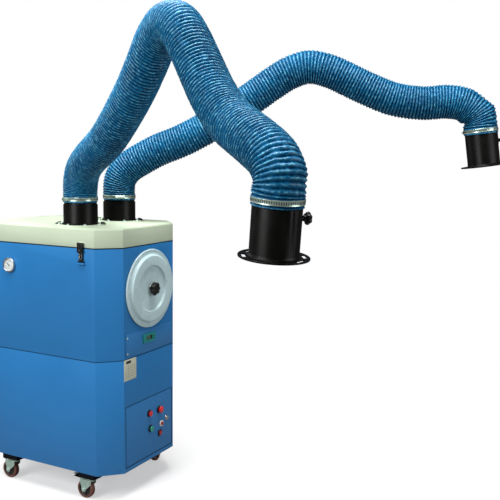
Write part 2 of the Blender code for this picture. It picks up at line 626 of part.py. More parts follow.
def hose_points(curve, start, end, spacing):
    """Points between two stations. Both ends are cut square to the curve, a small gap inside."""
    gap, square = 0.0006, 0.006
    (head, head_way), (tail, tail_way) = start, end
    kept = [head + head_way * gap, head + head_way * (gap + square)]
    for point in between(curve, head, tail):
        clear_of_tail = (tail - point).length > 0.6 * spacing
        if (point - kept[-1]).length > spacing and clear_of_tail:
            kept.append(point)
    return kept + [tail - tail_way * (gap + square), tail - tail_way * gap]


def build_arm(label, arm):
    at = (arm["side"] * COLLAR_X, COLLAR_Y, 0.0)
    frame = add_empty(f"swivel_axis_{label}", at, CABINET, (0, 0, arm["heading"]))
    build_collar(label, frame)
    add_turned(f"clamp_lower_{label}",
               [(0.0812, 1.384), (0.0834, 1.384), (0.0834, 1.367), (0.0812, 1.367)],
               "steel", frame, closed=True)
    shoulder = add_empty(f"shoulder_axis_{label}", (0, 0, SHOULDER_Z), frame, (0, -arm["upper"], 0))
    build_link(f"upper_link_{label}", shoulder, UPPER_LEN)
    bend = arm["fore"] - arm["upper"]
    elbow = add_empty(f"elbow_axis_{label}", (UPPER_LEN, 0, 0), shoulder, (0, -bend, 0))
    build_link(f"fore_link_{label}", elbow, FORE_LEN)
    wrist = add_empty(f"wrist_axis_{label}", (FORE_LEN, 0, 0), elbow, (0, arm["lean"] + arm["fore"], 0))
    build_hood(label, wrist, arm["knob"])
    add_turned(f"clamp_upper_{label}",
               [(0.0812, -0.092), (0.0834, -0.092), (0.0834, -0.108), (0.0812, -0.108)],
               "steel", wrist, closed=True)
    build_damper(label, wrist, arm["knob"])

    up, fore, lean = (radians(arm[key]) for key in ("upper", "fore", "lean"))
    wrist_at = Vector((UPPER_LEN * cos(up) + FORE_LEN * cos(fore),
                       SHOULDER_Z + UPPER_LEN * sin(up) + FORE_LEN * sin(fore)))
    down = Vector((-sin(lean), -cos(lean)))
    route = [Vector(point) for point in arm["route"]]
    route += [wrist_at + down * drop for drop in (0.028, 0.058, 0.090, HOOD_HOSE_END)]
    curve = smooth_route(route)
    stations = [(route[0], Vector((0.0, 1.0)))]
    stations += [station(curve, reach) for reach in arm["cuts"]]
    stations.append((route[-1], down))
    for name, start, end in zip(HOSE_MESH, stations, stations[1:]):
        spacing, sides = HOSE_MESH[name]
        add_tube(f"hose_{name}_{label}", hose_points(curve, start, end, spacing), frame, sides)


build_lower_cabinet()
build_upper_cabinet()
build_top_cover()
build_filter_unit()
build_display()
build_gauge()
build_latches()
build_control_door()
build_blower()
build_rear_fittings()
build_casters()
for arm_label, arm_data in ARMS.items():
    build_arm(arm_label, arm_data)
bpy.context.view_layer.update()
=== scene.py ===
"""The looks of a two-armed fume extractor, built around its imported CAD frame.

Metres, +Z up, in the row frame. The CAD bodies give every position: a piece is placed from a CAD
node's box or from a joint's axis, and it rides on the body that it belongs to. The small shapes'
own measures are in millimetres.
"""
import json
from bisect import bisect_right
from math import cos, exp, radians, sin, tau

import bmesh
import bpy
from mathutils import Matrix, Vector, noise

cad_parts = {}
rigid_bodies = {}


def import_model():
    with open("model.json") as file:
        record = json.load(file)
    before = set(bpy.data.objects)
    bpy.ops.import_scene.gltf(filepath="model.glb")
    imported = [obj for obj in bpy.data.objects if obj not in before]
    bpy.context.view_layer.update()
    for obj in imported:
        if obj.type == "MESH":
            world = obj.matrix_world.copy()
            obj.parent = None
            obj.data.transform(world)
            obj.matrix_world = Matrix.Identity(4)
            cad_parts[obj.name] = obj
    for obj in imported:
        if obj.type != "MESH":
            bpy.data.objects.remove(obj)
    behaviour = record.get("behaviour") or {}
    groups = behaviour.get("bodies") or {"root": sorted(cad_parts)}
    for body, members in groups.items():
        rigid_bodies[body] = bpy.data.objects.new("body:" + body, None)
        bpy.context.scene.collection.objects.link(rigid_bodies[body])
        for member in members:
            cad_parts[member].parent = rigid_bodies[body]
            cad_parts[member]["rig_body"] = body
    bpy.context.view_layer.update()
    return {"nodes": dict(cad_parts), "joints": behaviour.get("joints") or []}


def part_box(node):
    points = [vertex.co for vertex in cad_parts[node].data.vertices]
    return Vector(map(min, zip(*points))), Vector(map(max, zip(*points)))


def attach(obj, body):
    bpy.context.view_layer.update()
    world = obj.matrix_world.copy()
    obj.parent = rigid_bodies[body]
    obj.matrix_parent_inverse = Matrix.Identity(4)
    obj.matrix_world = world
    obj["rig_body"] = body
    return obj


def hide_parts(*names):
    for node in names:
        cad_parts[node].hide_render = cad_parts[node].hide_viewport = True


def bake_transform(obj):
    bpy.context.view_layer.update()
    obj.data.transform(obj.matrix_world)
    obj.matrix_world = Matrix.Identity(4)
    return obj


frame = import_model()
JOINTS = {joint["name"]: joint for joint in frame["joints"]}
Z = Vector((0, 0, 1))
MM = 0.001


def joint_at(name):
    return Vector(JOINTS[name]["pos_m"])


def joint_axis(name):
    return Vector(JOINTS[name]["axis"]).normalized()


def box_middle(node):
    low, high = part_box(node)
    return (low + high) / 2


def moved(x, y, z):
    """A move in metres."""
    return Matrix.Translation((x, y, z))


def shifted(x, y, z):
    """A move in millimetres."""
    return Matrix.Translation((x * MM, y * MM, z * MM))


def spun(degrees, axis):
    return Matrix.Rotation(radians(degrees), 4, axis)


def basis(x, y, z):
    """The turn that takes the three axes to these."""
    return Matrix((x, y, z)).transposed().to_4x4()


def on_front(x, z, proud=0):
    """A place on the front panel, or so many millimetres proud of it. Local +Z points out."""
    return moved(x, FRONT_Y - proud * MM, z) @ FACING_FRONT


# ---------------------------------------------------------------- places and sizes
CABINET = Vector((*box_middle("lower_cabinet").xy, 0.0))
FRONT_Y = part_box("lower_cabinet")[0].y
BACK_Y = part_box("lower_cabinet")[1].y
LEFT_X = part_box("lower_cabinet")[0].x
SEAM_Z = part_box("upper_cabinet")[0].z
RIM_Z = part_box("top_cover")[0].z
COVER_Z = 1.255
FACING_FRONT = spun(90, "X")  # a piece's local +Z then points at -Y
FACING_LEFT = spun(-90, "Y")  # a piece's local +Z then points at -X

HOSE_R = 0.0795
CLAMP_Z, CLAMP_DROP = 0.0155, 0.017  # from the hose's two ends to its clamps
# The hoses' centre lines, in each arm's own plane: millimetres from the collar's axis, and height.
ROUTES = {
    "left": [(0, 1360), (0, 1420), (12, 1470), (55, 1520), (139, 1564), (239, 1601), (343, 1645),
        (448, 1706), (547, 1770), (647, 1842), (739, 1921), (820, 1994), (910, 2036), (999, 2021),
        (1073, 1958), (1145, 1878), (1218, 1796), (1291, 1729), (1369, 1679), (1448, 1644), (1528, 1609),
        (1590, 1575)],
    "right": [(0, 1360), (0, 1420), (8, 1465), (42, 1512), (109, 1556), (199, 1604), (309, 1649),
        (418, 1705), (537, 1780), (647, 1852), (746, 1922), (831, 1974), (920, 2001), (1014, 1984),
        (1105, 1945), (1194, 1904), (1322, 1855), (1457, 1837), (1566, 1844), (1645, 1833), (1695, 1800)]}
HOOD_DROPS = (0.028, 0.058, 0.09, 0.117)  # the route's last points, below the wrist
# Reaches at which the hose passes from one section to the next, and the sections' bodies.
CUTS = {"left": (0.14, 0.775, 1.09, 1.53), "right": (0.14, 0.77, 1.07, 1.6)}
SECTIONS = (("shoulder", "swivel", "upper_arm"), ("upper", "upper_arm", None),
    ("elbow", "upper_arm", "forearm"), ("fore", "forearm", None), ("wrist", "forearm", "hood"))


# ---------------------------------------------------------------- materials
class Nodes:
    """A short hand for one material's node tree."""

    def __init__(self, name):
        self.material = bpy.data.materials.new(name)
        self.material.use_nodes = True
        self.tree = self.material.node_tree
        self.shader = self.tree.nodes["Principled BSDF"]

    def add(self, kind, **values):
        """A node. Values that name one of its inputs are set or linked; the others are properties."""
        made = self.tree.nodes.new(f"ShaderNode{kind}")
        for key, value in values.items():
            label = key.replace("_", " ")
            if label in made.inputs:
                self.feed(made.inputs[label], value)
            else:
                setattr(made, key, value)
        return made

    def feed(self, socket, value):
        if isinstance(value, bpy.types.NodeSocket):
            self.tree.links.new(value, socket)
        else:
            socket.default_value = value

    def put(self, label, value):
        """Sets or links one of the shader's own inputs."""
        self.feed(self.shader.inputs[label], value)

    def coordinates(self, stretch=(1, 1, 1), uv=False):
        place = self.add("TexCoord").outputs["UV" if uv else "Object"]
        return self.add("Mapping", Vector=place, Scale=stretch).outputs["Vector"]

    def noise(self, scale, detail=3.0, stretch=(1, 1, 1), uv=False):
        made = self.add("TexNoise", Vector=self.coordinates(stretch, uv), Scale=scale, Detail=detail)
        return made.outputs["Fac"]

    def spread(self, value, low, high, source=(0.3, 0.7)):
        made = self.add("MapRange", Value=value)
        for label, number in zip(("From Min", "From Max", "To Min", "To Max"), (*source, low, high)):
            made.inputs[label].default_value = number
        return made.outputs["Result"]

    def mix(self, factor, one, other, blend="MIX"):
        made = self.add("Mix", data_type="RGBA", blend_type=blend)
        self.feed(made.inputs[0], factor)
        self.feed(made.inputs[6], one)
        self.feed(made.inputs[7], other)
        return made.outputs[2]

    def bump(self, height, strength, distance, normal=None):
        made = self.add("Bump", Height=height, Strength=strength, Distance=distance)
        if normal is not None:
            self.feed(made.inputs["Normal"], normal)
        return made.outputs["Normal"]


def linear(red, green, blue):
    """An sRGB colour, 0 to 255, as linear RGBA."""
    parts = [channel / 255 for channel in (red, green, blue)]
    parts = [part / 12.92 if part <= 0.04045 else ((part + 0.055) / 1.055) ** 2.4 for part in parts]
    return (*parts, 1.0)


def scaled(colour, factor):
    return (*[min(1.0, part * factor) for part in colour[:3]], 1.0)


def surface(name, colour, roughness, metallic=0.0, variation=0.08, patch=40.0, grain=900.0, relief=0.00006,
        rough_spread=0.06, stretch=(1, 1, 1), coat=0.0, dust=0.0, shine=0.5):
    """A finish with patchy colour, patchy gloss, a fine relief and, if asked, dust low down."""
    nodes = Nodes(name)
    patches = nodes.noise(patch, 4.0, stretch)
    fine = nodes.noise(grain, 2.0, stretch)
    tint = nodes.mix(nodes.spread(patches, 0.0, 1.0), scaled(colour, 1 - variation),
        scaled(colour, 1 + variation))
    tint = nodes.mix(nodes.spread(fine, 0.0, 0.35), tint, scaled(colour, 1 - 2 * variation))
    if dust:
        height = nodes.add("SeparateXYZ", Vector=nodes.coordinates()).outputs["Z"]
        low_down = nodes.spread(height, dust, 0.0, source=(0.05, 0.45))
        amount = nodes.add("Math", operation="MULTIPLY")
        nodes.feed(amount.inputs[0], low_down)
        nodes.feed(amount.inputs[1], nodes.spread(nodes.noise(60.0, 5.0), 0.2, 1.0))
        tint = nodes.mix(amount.outputs[0], tint, linear(150, 145, 130))
    nodes.put("Base Color", tint)
    nodes.put("Roughness", nodes.spread(patches, roughness - rough_spread, roughness + rough_spread))
    nodes.put("Metallic", metallic)
    nodes.put("Specular IOR Level", shine)
    nodes.put("Coat Weight", coat)
    nodes.put("Coat Roughness", 0.12)
    nodes.put("Normal", nodes.bump(fine, 0.35, relief))
    return nodes.material


def hose_fabric():
    """Coated cloth on a wire helix, crumpled all over, with painted highlights on the crests, painted
    shade in the creases between and painted shade in dark streaks.
    """
    nodes = Nodes("hose_fabric")
    crest = nodes.add("Attribute", attribute_name="crest").outputs["Fac"]
    crumple = nodes.noise(1.0, 4.0, (60, 130, 1), uv=True)
    streaks = nodes.noise(1.0, 3.0, (26, 75, 1), uv=True)
    weave = nodes.noise(1.0, 2.0, (900, 900, 1), uv=True)
    broad = nodes.noise(6.0, 3.0)
    body = nodes.mix(nodes.spread(broad, 0.0, 1.0), linear(3, 72, 110), linear(12, 94, 136))
    # Painted shade: the creases between the ribs are darkened toward deep navy.
    crease_painted_shade = nodes.mix(nodes.spread(crest, 0.74, 0.0, source=(0.06, 0.46)), body, linear(0, 20, 46))
    # Painted highlight: pale cyan on the rib crests, broken up by the crumple noise.
    crest_painted_highlight = nodes.add("Math", operation="MULTIPLY")
    nodes.feed(crest_painted_highlight.inputs[0], nodes.spread(crest, 0.0, 1.0, source=(0.66, 0.98)))
    nodes.feed(crest_painted_highlight.inputs[1], nodes.spread(crumple, 0.0, 0.72, source=(0.47, 0.64)))
    colour = nodes.mix(crest_painted_highlight.outputs[0], crease_painted_shade, linear(112, 186, 208))
    shade = nodes.spread(streaks, 0.28, 0.0, source=(0.38, 0.5))
    colour = nodes.mix(shade, colour, linear(0, 34, 62))
    nodes.put("Base Color", colour)
    nodes.put("Roughness", nodes.spread(crumple, 0.3, 0.46))
    nodes.put("Specular IOR Level", nodes.spread(crest, 0.04, 0.36, source=(0.3, 0.9)))
    nodes.put("Specular Tint", (0.66, 0.9, 1.0, 1.0))
    normal = nodes.bump(crumple, 1.0, 0.003)
    nodes.put("Normal", nodes.bump(weave, 0.25, 0.0003, normal))
    return nodes.material


def clear_glass():
    nodes = Nodes("gauge_glass")
    smear = nodes.noise(90.0)
    nodes.put("Base Color", (0.95, 0.97, 0.98, 1.0))
    nodes.put("Roughness", nodes.spread(smear, 0.02, 0.08))
    nodes.put("Transmission Weight", 1.0)
    nodes.put("IOR", 1.1)
    return nodes.material


def pleated_paper():
    nodes = Nodes("filter_paper")
    fibres = nodes.noise(420.0, 6.0)
    nodes.put("Base Color", nodes.mix(nodes.spread(fibres, 0.0, 1.0),
        linear(206, 204, 190), linear(232, 230, 220)))
    nodes.put("Roughness", 0.9)
    nodes.put("Normal", nodes.bump(fibres, 0.4, 0.0004))
    return nodes.material


BLUE = surface("blue_coat", linear(35, 111, 171), 0.45, variation=0.05, patch=3.0, grain=520.0,
    relief=0.00012, dust=0.06, shine=0.3)
CREAM = surface("cream_coat", linear(178, 191, 168), 0.42, variation=0.04, patch=4.0, grain=520.0,
    relief=0.00012, shine=0.35)
DOOR_GREY = surface("door_grey", linear(178, 202, 206), 0.28, variation=0.04, patch=6.0, grain=600.0)
BLACK = surface("black_enamel", linear(8, 8, 7), 0.36, variation=0.2, patch=16.0, grain=350.0,
    relief=0.00015, shine=0.1)
ZINC = surface("zinc_plate", linear(176, 200, 188), 0.42, metallic=0.45, variation=0.1, patch=60.0,
    grain=1100.0, rough_spread=0.1)
BAND = surface("clamp_band", linear(176, 196, 184), 0.3, metallic=0.7, patch=30.0,
    grain=1500.0, stretch=(1, 1, 14))
STEEL = surface("bright_steel", linear(200, 202, 200), 0.25, metallic=1.0, variation=0.06, patch=50.0,
    grain=1600.0)
ALUMINIUM = surface("mill_aluminium", linear(190, 192, 194), 0.36, metallic=1.0, patch=25.0,
    stretch=(1, 1, 6))
CASTING = surface("painted_casting", linear(62, 78, 86), 0.55, metallic=0.2, variation=0.15,
    grain=260.0, relief=0.0006)
TREAD = surface("brown_tread", linear(112, 66, 56), 0.46, variation=0.14, patch=35.0, grain=500.0,
    relief=0.0003, dust=0.05)
HUB = surface("dark_hub", linear(52, 46, 44), 0.42, variation=0.15, grain=600.0)
RUBBER = surface("black_rubber", linear(14, 16, 20), 0.8, variation=0.15, grain=800.0,
    relief=0.0003, shine=0.1)
BLACK_PLASTIC = surface("black_plastic", linear(18, 17, 16), 0.42, variation=0.15, patch=30.0,
    grain=1200.0, relief=0.0002, shine=0.3)
RED = surface("red_plastic", linear(205, 32, 38), 0.28, variation=0.06, coat=0.4)
DARK_RED = surface("dark_red_lens", linear(150, 20, 30), 0.2, variation=0.1, patch=60.0, coat=0.5)
GREEN = surface("green_plastic", linear(16, 146, 122), 0.28, variation=0.06, coat=0.4)
TEAL = surface("teal_bezel", linear(16, 128, 124), 0.35)
WHITE = surface("white_nylon", linear(226, 228, 222), 0.45, variation=0.05, patch=60.0)
DIAL = surface("white_dial", linear(236, 238, 236), 0.5, variation=0.03, patch=60.0)
# Black for print and pointers, and painted shade in the clamp slots and the keyhole.
INK_AND_PAINTED_SHADE = surface("dial_ink_and_painted_shade", linear(24, 24, 28), 0.55, variation=0.1, patch=60.0)
LCD = surface("lcd_window", linear(96, 122, 100), 0.16, patch=60.0, coat=0.5)
PLATE = surface("rating_plate", linear(200, 204, 184), 0.4, metallic=0.2, patch=30.0, grain=800.0)
PAPER = pleated_paper()
HOSE = hose_fabric()
GLASS = clear_glass()


# ---------------------------------------------------------------- mesh helpers
def in_scene(name, data):
    made = bpy.data.objects.new(name, data)
    bpy.context.scene.collection.objects.link(made)
    return made


def piece(name, mesh, material, body, place=None, bevel=0.0, bevel_steps=2, replaces=()):
    """One visible piece, in place, riding on its body."""
    made = in_scene(name, mesh)
    if place is not None:
        made.matrix_world = place
    mesh.materials.clear()
    mesh.materials.append(material)
    mesh.shade_smooth()
    mesh.set_sharp_from_angle(angle=radians(32))
    if bevel:
        step = made.modifiers.new("soft_edges", "BEVEL")
        step.width = bevel
        step.segments = bevel_steps
        step.limit_method = "ANGLE"
        step.angle_limit = radians(35)
        step.harden_normals = True
    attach(made, body)
    if replaces:
        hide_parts(*replaces)
    return made


def finished(shape):
    mesh = bpy.data.meshes.new("shape")
    bmesh.ops.recalc_face_normals(shape, faces=shape.faces)
    shape.to_mesh(mesh)
    shape.free()
    return mesh


def joined(*meshes):
    """Several meshes as one; each may be given as (mesh, matrix)."""
    shape = bmesh.new()
    for entry in meshes:
        mesh, place = entry if isinstance(entry, tuple) else (entry, None)
        before = set(shape.verts)
        shape.from_mesh(mesh)
        if place is not None:
            bmesh.ops.transform(shape, matrix=place, verts=[v for v in shape.verts if v not in before])
    mesh = bpy.data.meshes.new("joined")
    shape.to_mesh(mesh)
    shape.free()
    return mesh


def block(size, centre=(0, 0, 0), bevel=0.0, steps=2):
    shape = bmesh.new()
    place = shifted(*centre) @ Matrix.Diagonal((*[side * MM for side in size], 1.0))
    bmesh.ops.create_cube(shape, size=1.0, matrix=place)
    if bevel:
        bmesh.ops.bevel(shape, geom=shape.edges[:], offset=bevel * MM, segments=steps, profile=0.5,
            affect="EDGES")
    return finished(shape)


def lathe(profile, steps=48, closed=False, wobble=None):
    """(radius, height) points spun about Z. wobble(angle) scales the radius, for lobes and pleats."""
    shape = bmesh.new()
    rings = []
    for radius, height in profile:
        if radius == 0:
            rings.append([shape.verts.new((0, 0, height * MM))])
            continue
        ring = []
        for step in range(steps):
            angle = tau * step / steps
            reach = radius * (wobble(angle) if wobble else 1.0) * MM
            ring.append(shape.verts.new((reach * cos(angle), reach * sin(angle), height * MM)))
        rings.append(ring)
    pairs = list(zip(rings, rings[1:]))
    if closed:
        pairs.append((rings[-1], rings[0]))
    for one, other in pairs:
        for step in range(steps):
            after = (step + 1) % steps
            corners = [one[step % len(one)], one[after % len(one)], other[after % len(other)],
                other[step % len(other)]]
            unique = list(dict.fromkeys(corners))
            if len(unique) > 2:
                shape.faces.new(unique)
    return finished(shape)


def rounded(points, radius, steps=3):
    """The same open profile with each inner corner rounded."""
    points = [Vector(point) for point in points]
    smooth = [points[0]]
    for before, corner, after in zip(points, points[1:], points[2:]):
        back, ahead = before - corner, after - corner
        reach = min(radius, back.length * 0.45, ahead.length * 0.45)
        start = corner + back.normalized() * reach
        end = corner + ahead.normalized() * reach
        for step in range(steps + 1):
            t = step / steps
            smooth.append(start * (1 - t) ** 2 + corner * 2 * t * (1 - t) + end * t * t)
    smooth.append(points[-1])
    return [(point.x, point.y) for point in smooth]


def skin(shape, *rings):
    """The faces between each ring of corners and the next."""
    for one, two in zip(rings, rings[1:]):
        for k in range(len(one)):
            after = (k + 1) % len(one)
            shape.faces.new((one[k], one[after], two[after], two[k]))


def wire(points, radius, sides=8):
    """A round bar along a polyline, with flat ends."""
    shape = bmesh.new()
    points = [Vector(point) * MM for point in points]
    rings = []
    across = None
    for index, point in enumerate(points):
        way = (points[min(index + 1, len(points) - 1)] - points[max(index - 1, 0)]).normalized()
        if across is None:
            across = way.orthogonal().normalized()
        across = (across - way * across.dot(way)).normalized()
        other = way.cross(across)
        rings.append([shape.verts.new(point + (across * cos(tau * k / sides)
            + other * sin(tau * k / sides)) * radius * MM) for k in range(sides)])
    skin(shape, *rings)
    shape.faces.new(rings[0][::-1])
    shape.faces.new(rings[-1])
    return finished(shape)


def slab(outline, low, high):
    """A flat plate with this outline, between two heights."""
    shape = bmesh.new()
    bottom, top = [[shape.verts.new((x * MM, y * MM, z * MM)) for x, y in outline] for z in (low, high)]
    shape.faces.new(bottom[::-1])
    shape.faces.new(top)
    skin(shape, bottom, top)
    return finished(shape)


def bolt(radius, height):
    """A hexagon head with a chamfered crown, standing on a washer."""
    washer = lathe([(0, 1.2), (radius * 1.45, 1.2), (radius * 1.5, 0.6), (radius * 1.5, 0)], 20)
    head = lathe([(0, height), (radius * 0.86, height), (radius, height * 0.82), (radius, 1)], 6)
    return joined(washer, head)


def pan_screw(radius, height):
    """A low domed head with a cross recess."""
    dome = lathe([(0, height), (radius * 0.45, height * 0.96), (radius * 0.8, height * 0.7),
        (radius, height * 0.25), (radius, 0)], 20)
    slots = [block((radius * 1.1, radius * 0.22, height * 0.1), (0, 0, height * 0.99)),
        block((radius * 0.22, radius * 1.1, height * 0.1), (0, 0, height * 0.99))]
    return joined(dome, *slots)


def around(mesh, count, radius, start=0.0):
    """Copies of a mesh in a circle about Z, as (mesh, matrix) pairs for joined()."""
    turns = [Matrix.Rotation(start + tau * k / count, 4, "Z") for k in range(count)]
    return [(mesh, turn @ shifted(radius, 0, 0)) for turn in turns]


def softened(node, material, bevel, steps=3):
    """The CAD node's own shape with its edges rounded as bent sheet or moulding is."""
    shape = bmesh.new()
    shape.from_mesh(frame["nodes"][node].data)
    bmesh.ops.remove_doubles(shape, verts=shape.verts, dist=1e-6)
    bmesh.ops.dissolve_limit(shape, angle_limit=radians(1), verts=shape.verts, edges=shape.edges)
    sharp = [edge for edge in shape.edges if len(edge.link_faces) == 2
        and edge.calc_face_angle(0) > radians(28)]
    bmesh.ops.bevel(shape, geom=sharp, offset=bevel, segments=steps, profile=0.5, affect="EDGES",
        clamp_overlap=True)
    bmesh.ops.triangulate(shape, faces=[face for face in shape.faces if len(face.verts) > 4])
    mesh = finished(shape)
    body = frame["nodes"][node]["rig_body"]
    return piece(f"{node}_look", mesh, material, body, replaces=(node,))


def recoat(node, material):
    """A CAD node that stays as it is, with a better material."""
    mesh = frame["nodes"][node].data
    mesh.materials.clear()
    mesh.materials.append(material)


# ---------------------------------------------------------------- hoses
def smooth_route(points, per_span=24):
    """Catmull-Rom curve through the route's points."""
    padded = [points[0] * 2 - points[1], *points, points[-1] * 2 - points[-2]]
    curve = []
    for before, here, there, after in zip(padded, padded[1:], padded[2:], padded[3:]):
        for step in range(per_span):
            t = step / per_span
            linear_part = (there - before) * t
            square = (2 * before - 5 * here + 4 * there - after) * t ** 2
            cubic = (3 * here - before - 3 * there + after) * t ** 3
            curve.append(here + 0.5 * (linear_part + square + cubic))
    curve.append(points[-1].copy())
    return curve


def length_along(curve):
    total = [0.0]
    for a, b in zip(curve, curve[1:]):
        total.append(total[-1] + (b - a).length)
    return total


RINGS_PER_RIB = 8
HOSE_SIDES = 96
WIRE_PITCH = 0.0145
BUNCHED_AT_COLLAR, BUNCHED_AT_HOOD = 0.0045, 0.0028     # what the pitch loses there
RIB_DEPTH, CRUMPLE = 0.0052, 0.0031     # from crest to crease, and the cloth's own unevenness
CLAMPED_R = 0.0779
CLAMP_REACH, CLAMP_EASE = 0.015, 0.006  # the cloth a clamp draws in on each side, and over how much


def rib_pitch(share):
    """The wire's pitch along the hose: bunched at the collar, a little closer at the hood."""
    at_collar = BUNCHED_AT_COLLAR * exp(-(share / 0.1) ** 2)
    at_hood = BUNCHED_AT_HOOD * exp(-((share - 1.0) / 0.16) ** 2)
    return WIRE_PITCH - at_collar - at_hood


def point_along(curve, distance, at):
    """The curve's point at this distance from its start."""
    index = min(max(bisect_right(distance, at) - 1, 0), len(curve) - 2)
    step = distance[index + 1] - distance[index]
    return curve[index].lerp(curve[index + 1], (at - distance[index]) / step)


FAN_SPAN = 0.085        # the wire's turns share out a bend over this length on either side


def hose_rings(curve):
    """(centre, direction, distance) of each ring, spaced by the rib's phase."""
    distance = length_along(curve)
    whole = distance[-1]
    rings = []
    at = 0.0
    while at < whole:
        span = max(0.003, min(FAN_SPAN, at, whole - at))
        ahead = point_along(curve, distance, min(at + span, whole))
        behind = point_along(curve, distance, max(at - span, 0.0))
        rings.append((point_along(curve, distance, at), (ahead - behind).normalized(), at))
        at += rib_pitch(at / whole) / RINGS_PER_RIB
    rings.append((curve[-1], (curve[-1] - curve[-2]).normalized(), whole))
    return rings


def rib_height(phase, angle, seed):
    """How proud the cloth stands of its deepest crease, 0 to 1, at a turn of the helix."""
    around_hose = Vector((cos(angle), sin(angle), 0.0))
    sway = 0.1 * noise.noise(around_hose * 2.2 + Z * (phase * 0.35 + seed))
    turn = phase + angle / tau + sway
    crest = (0.5 + 0.5 * cos(tau * turn)) ** 0.9
    pucker = noise.noise(around_hose * 9.0 + Z * (turn * 0.8 + seed))
    fold = noise.noise(around_hose * 4.0 + Z * (turn * 1.7 + seed + 40.0))
    return crest, (1.0 - 0.7 * crest) * (0.9 * pucker + 0.5 * fold)


def pinch(at, whole):
    """How far the cloth is drawn in under the two clamps, 0 to 1."""
    near = min(abs(at - CLAMP_Z), abs(whole - CLAMP_DROP - at))
    return min(1.0, max(0.0, (CLAMP_REACH - near) / CLAMP_EASE))


def hose_section(rings, first, last, across, seed):
    """The cloth between two rings, as a mesh with a crest attribute and a UV map in metres."""
    shape = bmesh.new()
    uv_layer = shape.loops.layers.uv.new("hose")
    heights = []
    built = []
    whole = rings[-1][2]
    for index in range(first, last + 1):
        centre, way, at = rings[index]
        outward = across.cross(way)
        drawn_in = pinch(at, whole)
        ring = []
        for side in range(HOSE_SIDES):
            angle = tau * side / HOSE_SIDES
            crest, crumple = rib_height(index / RINGS_PER_RIB, angle, seed)
            loose = HOSE_R - RIB_DEPTH * (1.0 - crest) + CRUMPLE * crumple
            radius = loose + (CLAMPED_R - loose) * drawn_in
            point = centre + (outward * cos(angle) + across * sin(angle)) * radius
            ring.append(shape.verts.new(point))
            heights.append(min(1.0, max(0.0, crest + 0.35 * crumple)))
        built.append((ring, at))
    for (one, low), (two, high) in zip(built, built[1:]):
        for side in range(HOSE_SIDES):
            after = (side + 1) % HOSE_SIDES
            face = shape.faces.new((one[side], one[after], two[after], two[side]))
            for loop, (turn, along) in zip(face.loops, ((side, low), (side + 1, low), (side + 1, high),
                    (side, high))):
                loop[uv_layer].uv = (turn / HOSE_SIDES * tau * HOSE_R, along)
    mesh = bpy.data.meshes.new("hose")
    shape.to_mesh(mesh)
    shape.free()
    mesh.attributes.new("crest", "FLOAT", "POINT").data.foreach_set("value", heights)
    return mesh


def build_hose(label):
    shoulder = joint_at(f"shoulder_{label}")
    across = joint_axis(f"wrist_{label}")
    ahead = across.cross(Z)
    wrist = joint_at(f"wrist_{label}")
    down = (joint_at(f"damper_turn_{label}") - wrist).normalized()
    base = Vector((shoulder.x, shoulder.y, 0.0))
    points = [base + (ahead * reach + Z * height) * MM for reach, height in ROUTES[label]]
    points += [wrist + down * drop for drop in HOOD_DROPS]
    rings = hose_rings(smooth_route(points))
    reaches = [(ring[0] - base).dot(ahead) for ring in rings]
    edges = [0]
    edges += [next(i for i, reach in enumerate(reaches) if reach >= cut) for cut in CUTS[label]]
    edges.append(len(rings) - 1)
    seed = 3.0 if label == "left" else 17.0
    for (name, one, two), first, last in zip(SECTIONS, edges, edges[1:]):
        mesh = hose_section(rings, first, last, across, seed)
        mesh.materials.append(HOSE)
        mesh.shade_smooth()
        made = in_scene(f"hose_{name}_{label}_cloth", mesh)
        if two is None:
            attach(made, f"{one}_{label}")
        else:
            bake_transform(made)
        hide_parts(f"hose_{name}_{label}")


# ---------------------------------------------------------------- cabinet
def octagon_band(low, high, inset, wall):
    """A closed eight-sided band that follows the cabinet's outline, a little inside it."""
    half_x, half_y = (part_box("lower_cabinet")[1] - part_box("lower_cabinet")[0]).xy / 2
    corner = 0.09
    shape = bmesh.new()
    loops = []
    for depth in (inset, inset + wall):
        x, y, c = half_x - depth, half_y - depth, corner - 0.6 * depth
        outline = [(x, c - y), (x, y - c), (x - c, y), (c - x, y),
            (-x, y - c), (-x, c - y), (c - x, -y), (x - c, -y)]
        loops.append([[shape.verts.new((a, b, z)) for a, b in outline] for z in (low, high)])
    (outer_low, outer_high), (inner_low, inner_high) = loops
    skin(shape, outer_low, outer_high, inner_high, inner_low, outer_low)
    return finished(shape)


def build_cabinet():
    for node in ("lower_cabinet", "upper_cabinet"):
        softened(node, BLUE, 0.002)
    softened("top_cover", CREAM, 0.0016)
    at_cabinet = moved(*CABINET)
    # Dark rubber strips standing proud at the cabinet's seam and under the cover's rim: partly gaskets,
    # partly painted shade of the gaps there.
    piece("seam_gasket_and_gap_shade", octagon_band(SEAM_Z - 0.0014, SEAM_Z + 0.001, -0.0005, 0.0024), RUBBER,
        "cabinet", at_cabinet)
    piece("cover_gasket_and_gap_shade", octagon_band(RIM_Z - 0.0036, RIM_Z + 0.0002, -0.0006, 0.0026), RUBBER,
        "cabinet", at_cabinet)


def build_flange_fasteners():
    """Bolts on washers round each collar, and a spring clip at either side of it."""
    flange_z = COVER_Z + 0.004
    for label in ("left", "right"):
        centre = joint_at(f"arm_swivel_{label}")
        place = moved(centre.x, centre.y, flange_z)
        start = radians(-39.5)
        washer = lathe([(0, 1.6), (7.2, 1.6), (8, 1), (8, 0)], 24)
        head = bolt(5, 5.2)
        lifted = [(mesh, turn @ shifted(0, 0, 1.6)) for mesh, turn in around(head, 8, 100, start)]
        piece(f"flange_washers_{label}", joined(*around(washer, 8, 100, start)), WHITE, "cabinet",
            place)
        piece(f"flange_bolts_{label}", joined(*lifted), ZINC, "cabinet", place)
        spring = [(112, -11, 0.6), (106, -11, 7.8), (93.5, -11, 9), (92.5, 0, 9.2), (93.5, 11, 9),
            (106, 11, 7.8), (112, 11, 0.6)]
        clip = joined(wire(spring, 1.6), block((24, 16, 3.4), (104.5, 0, 1.8), 1))
        piece(f"retaining_clips_{label}", joined(*around(clip, 2, 0, radians(-62))), BLACK, "cabinet",
            place)


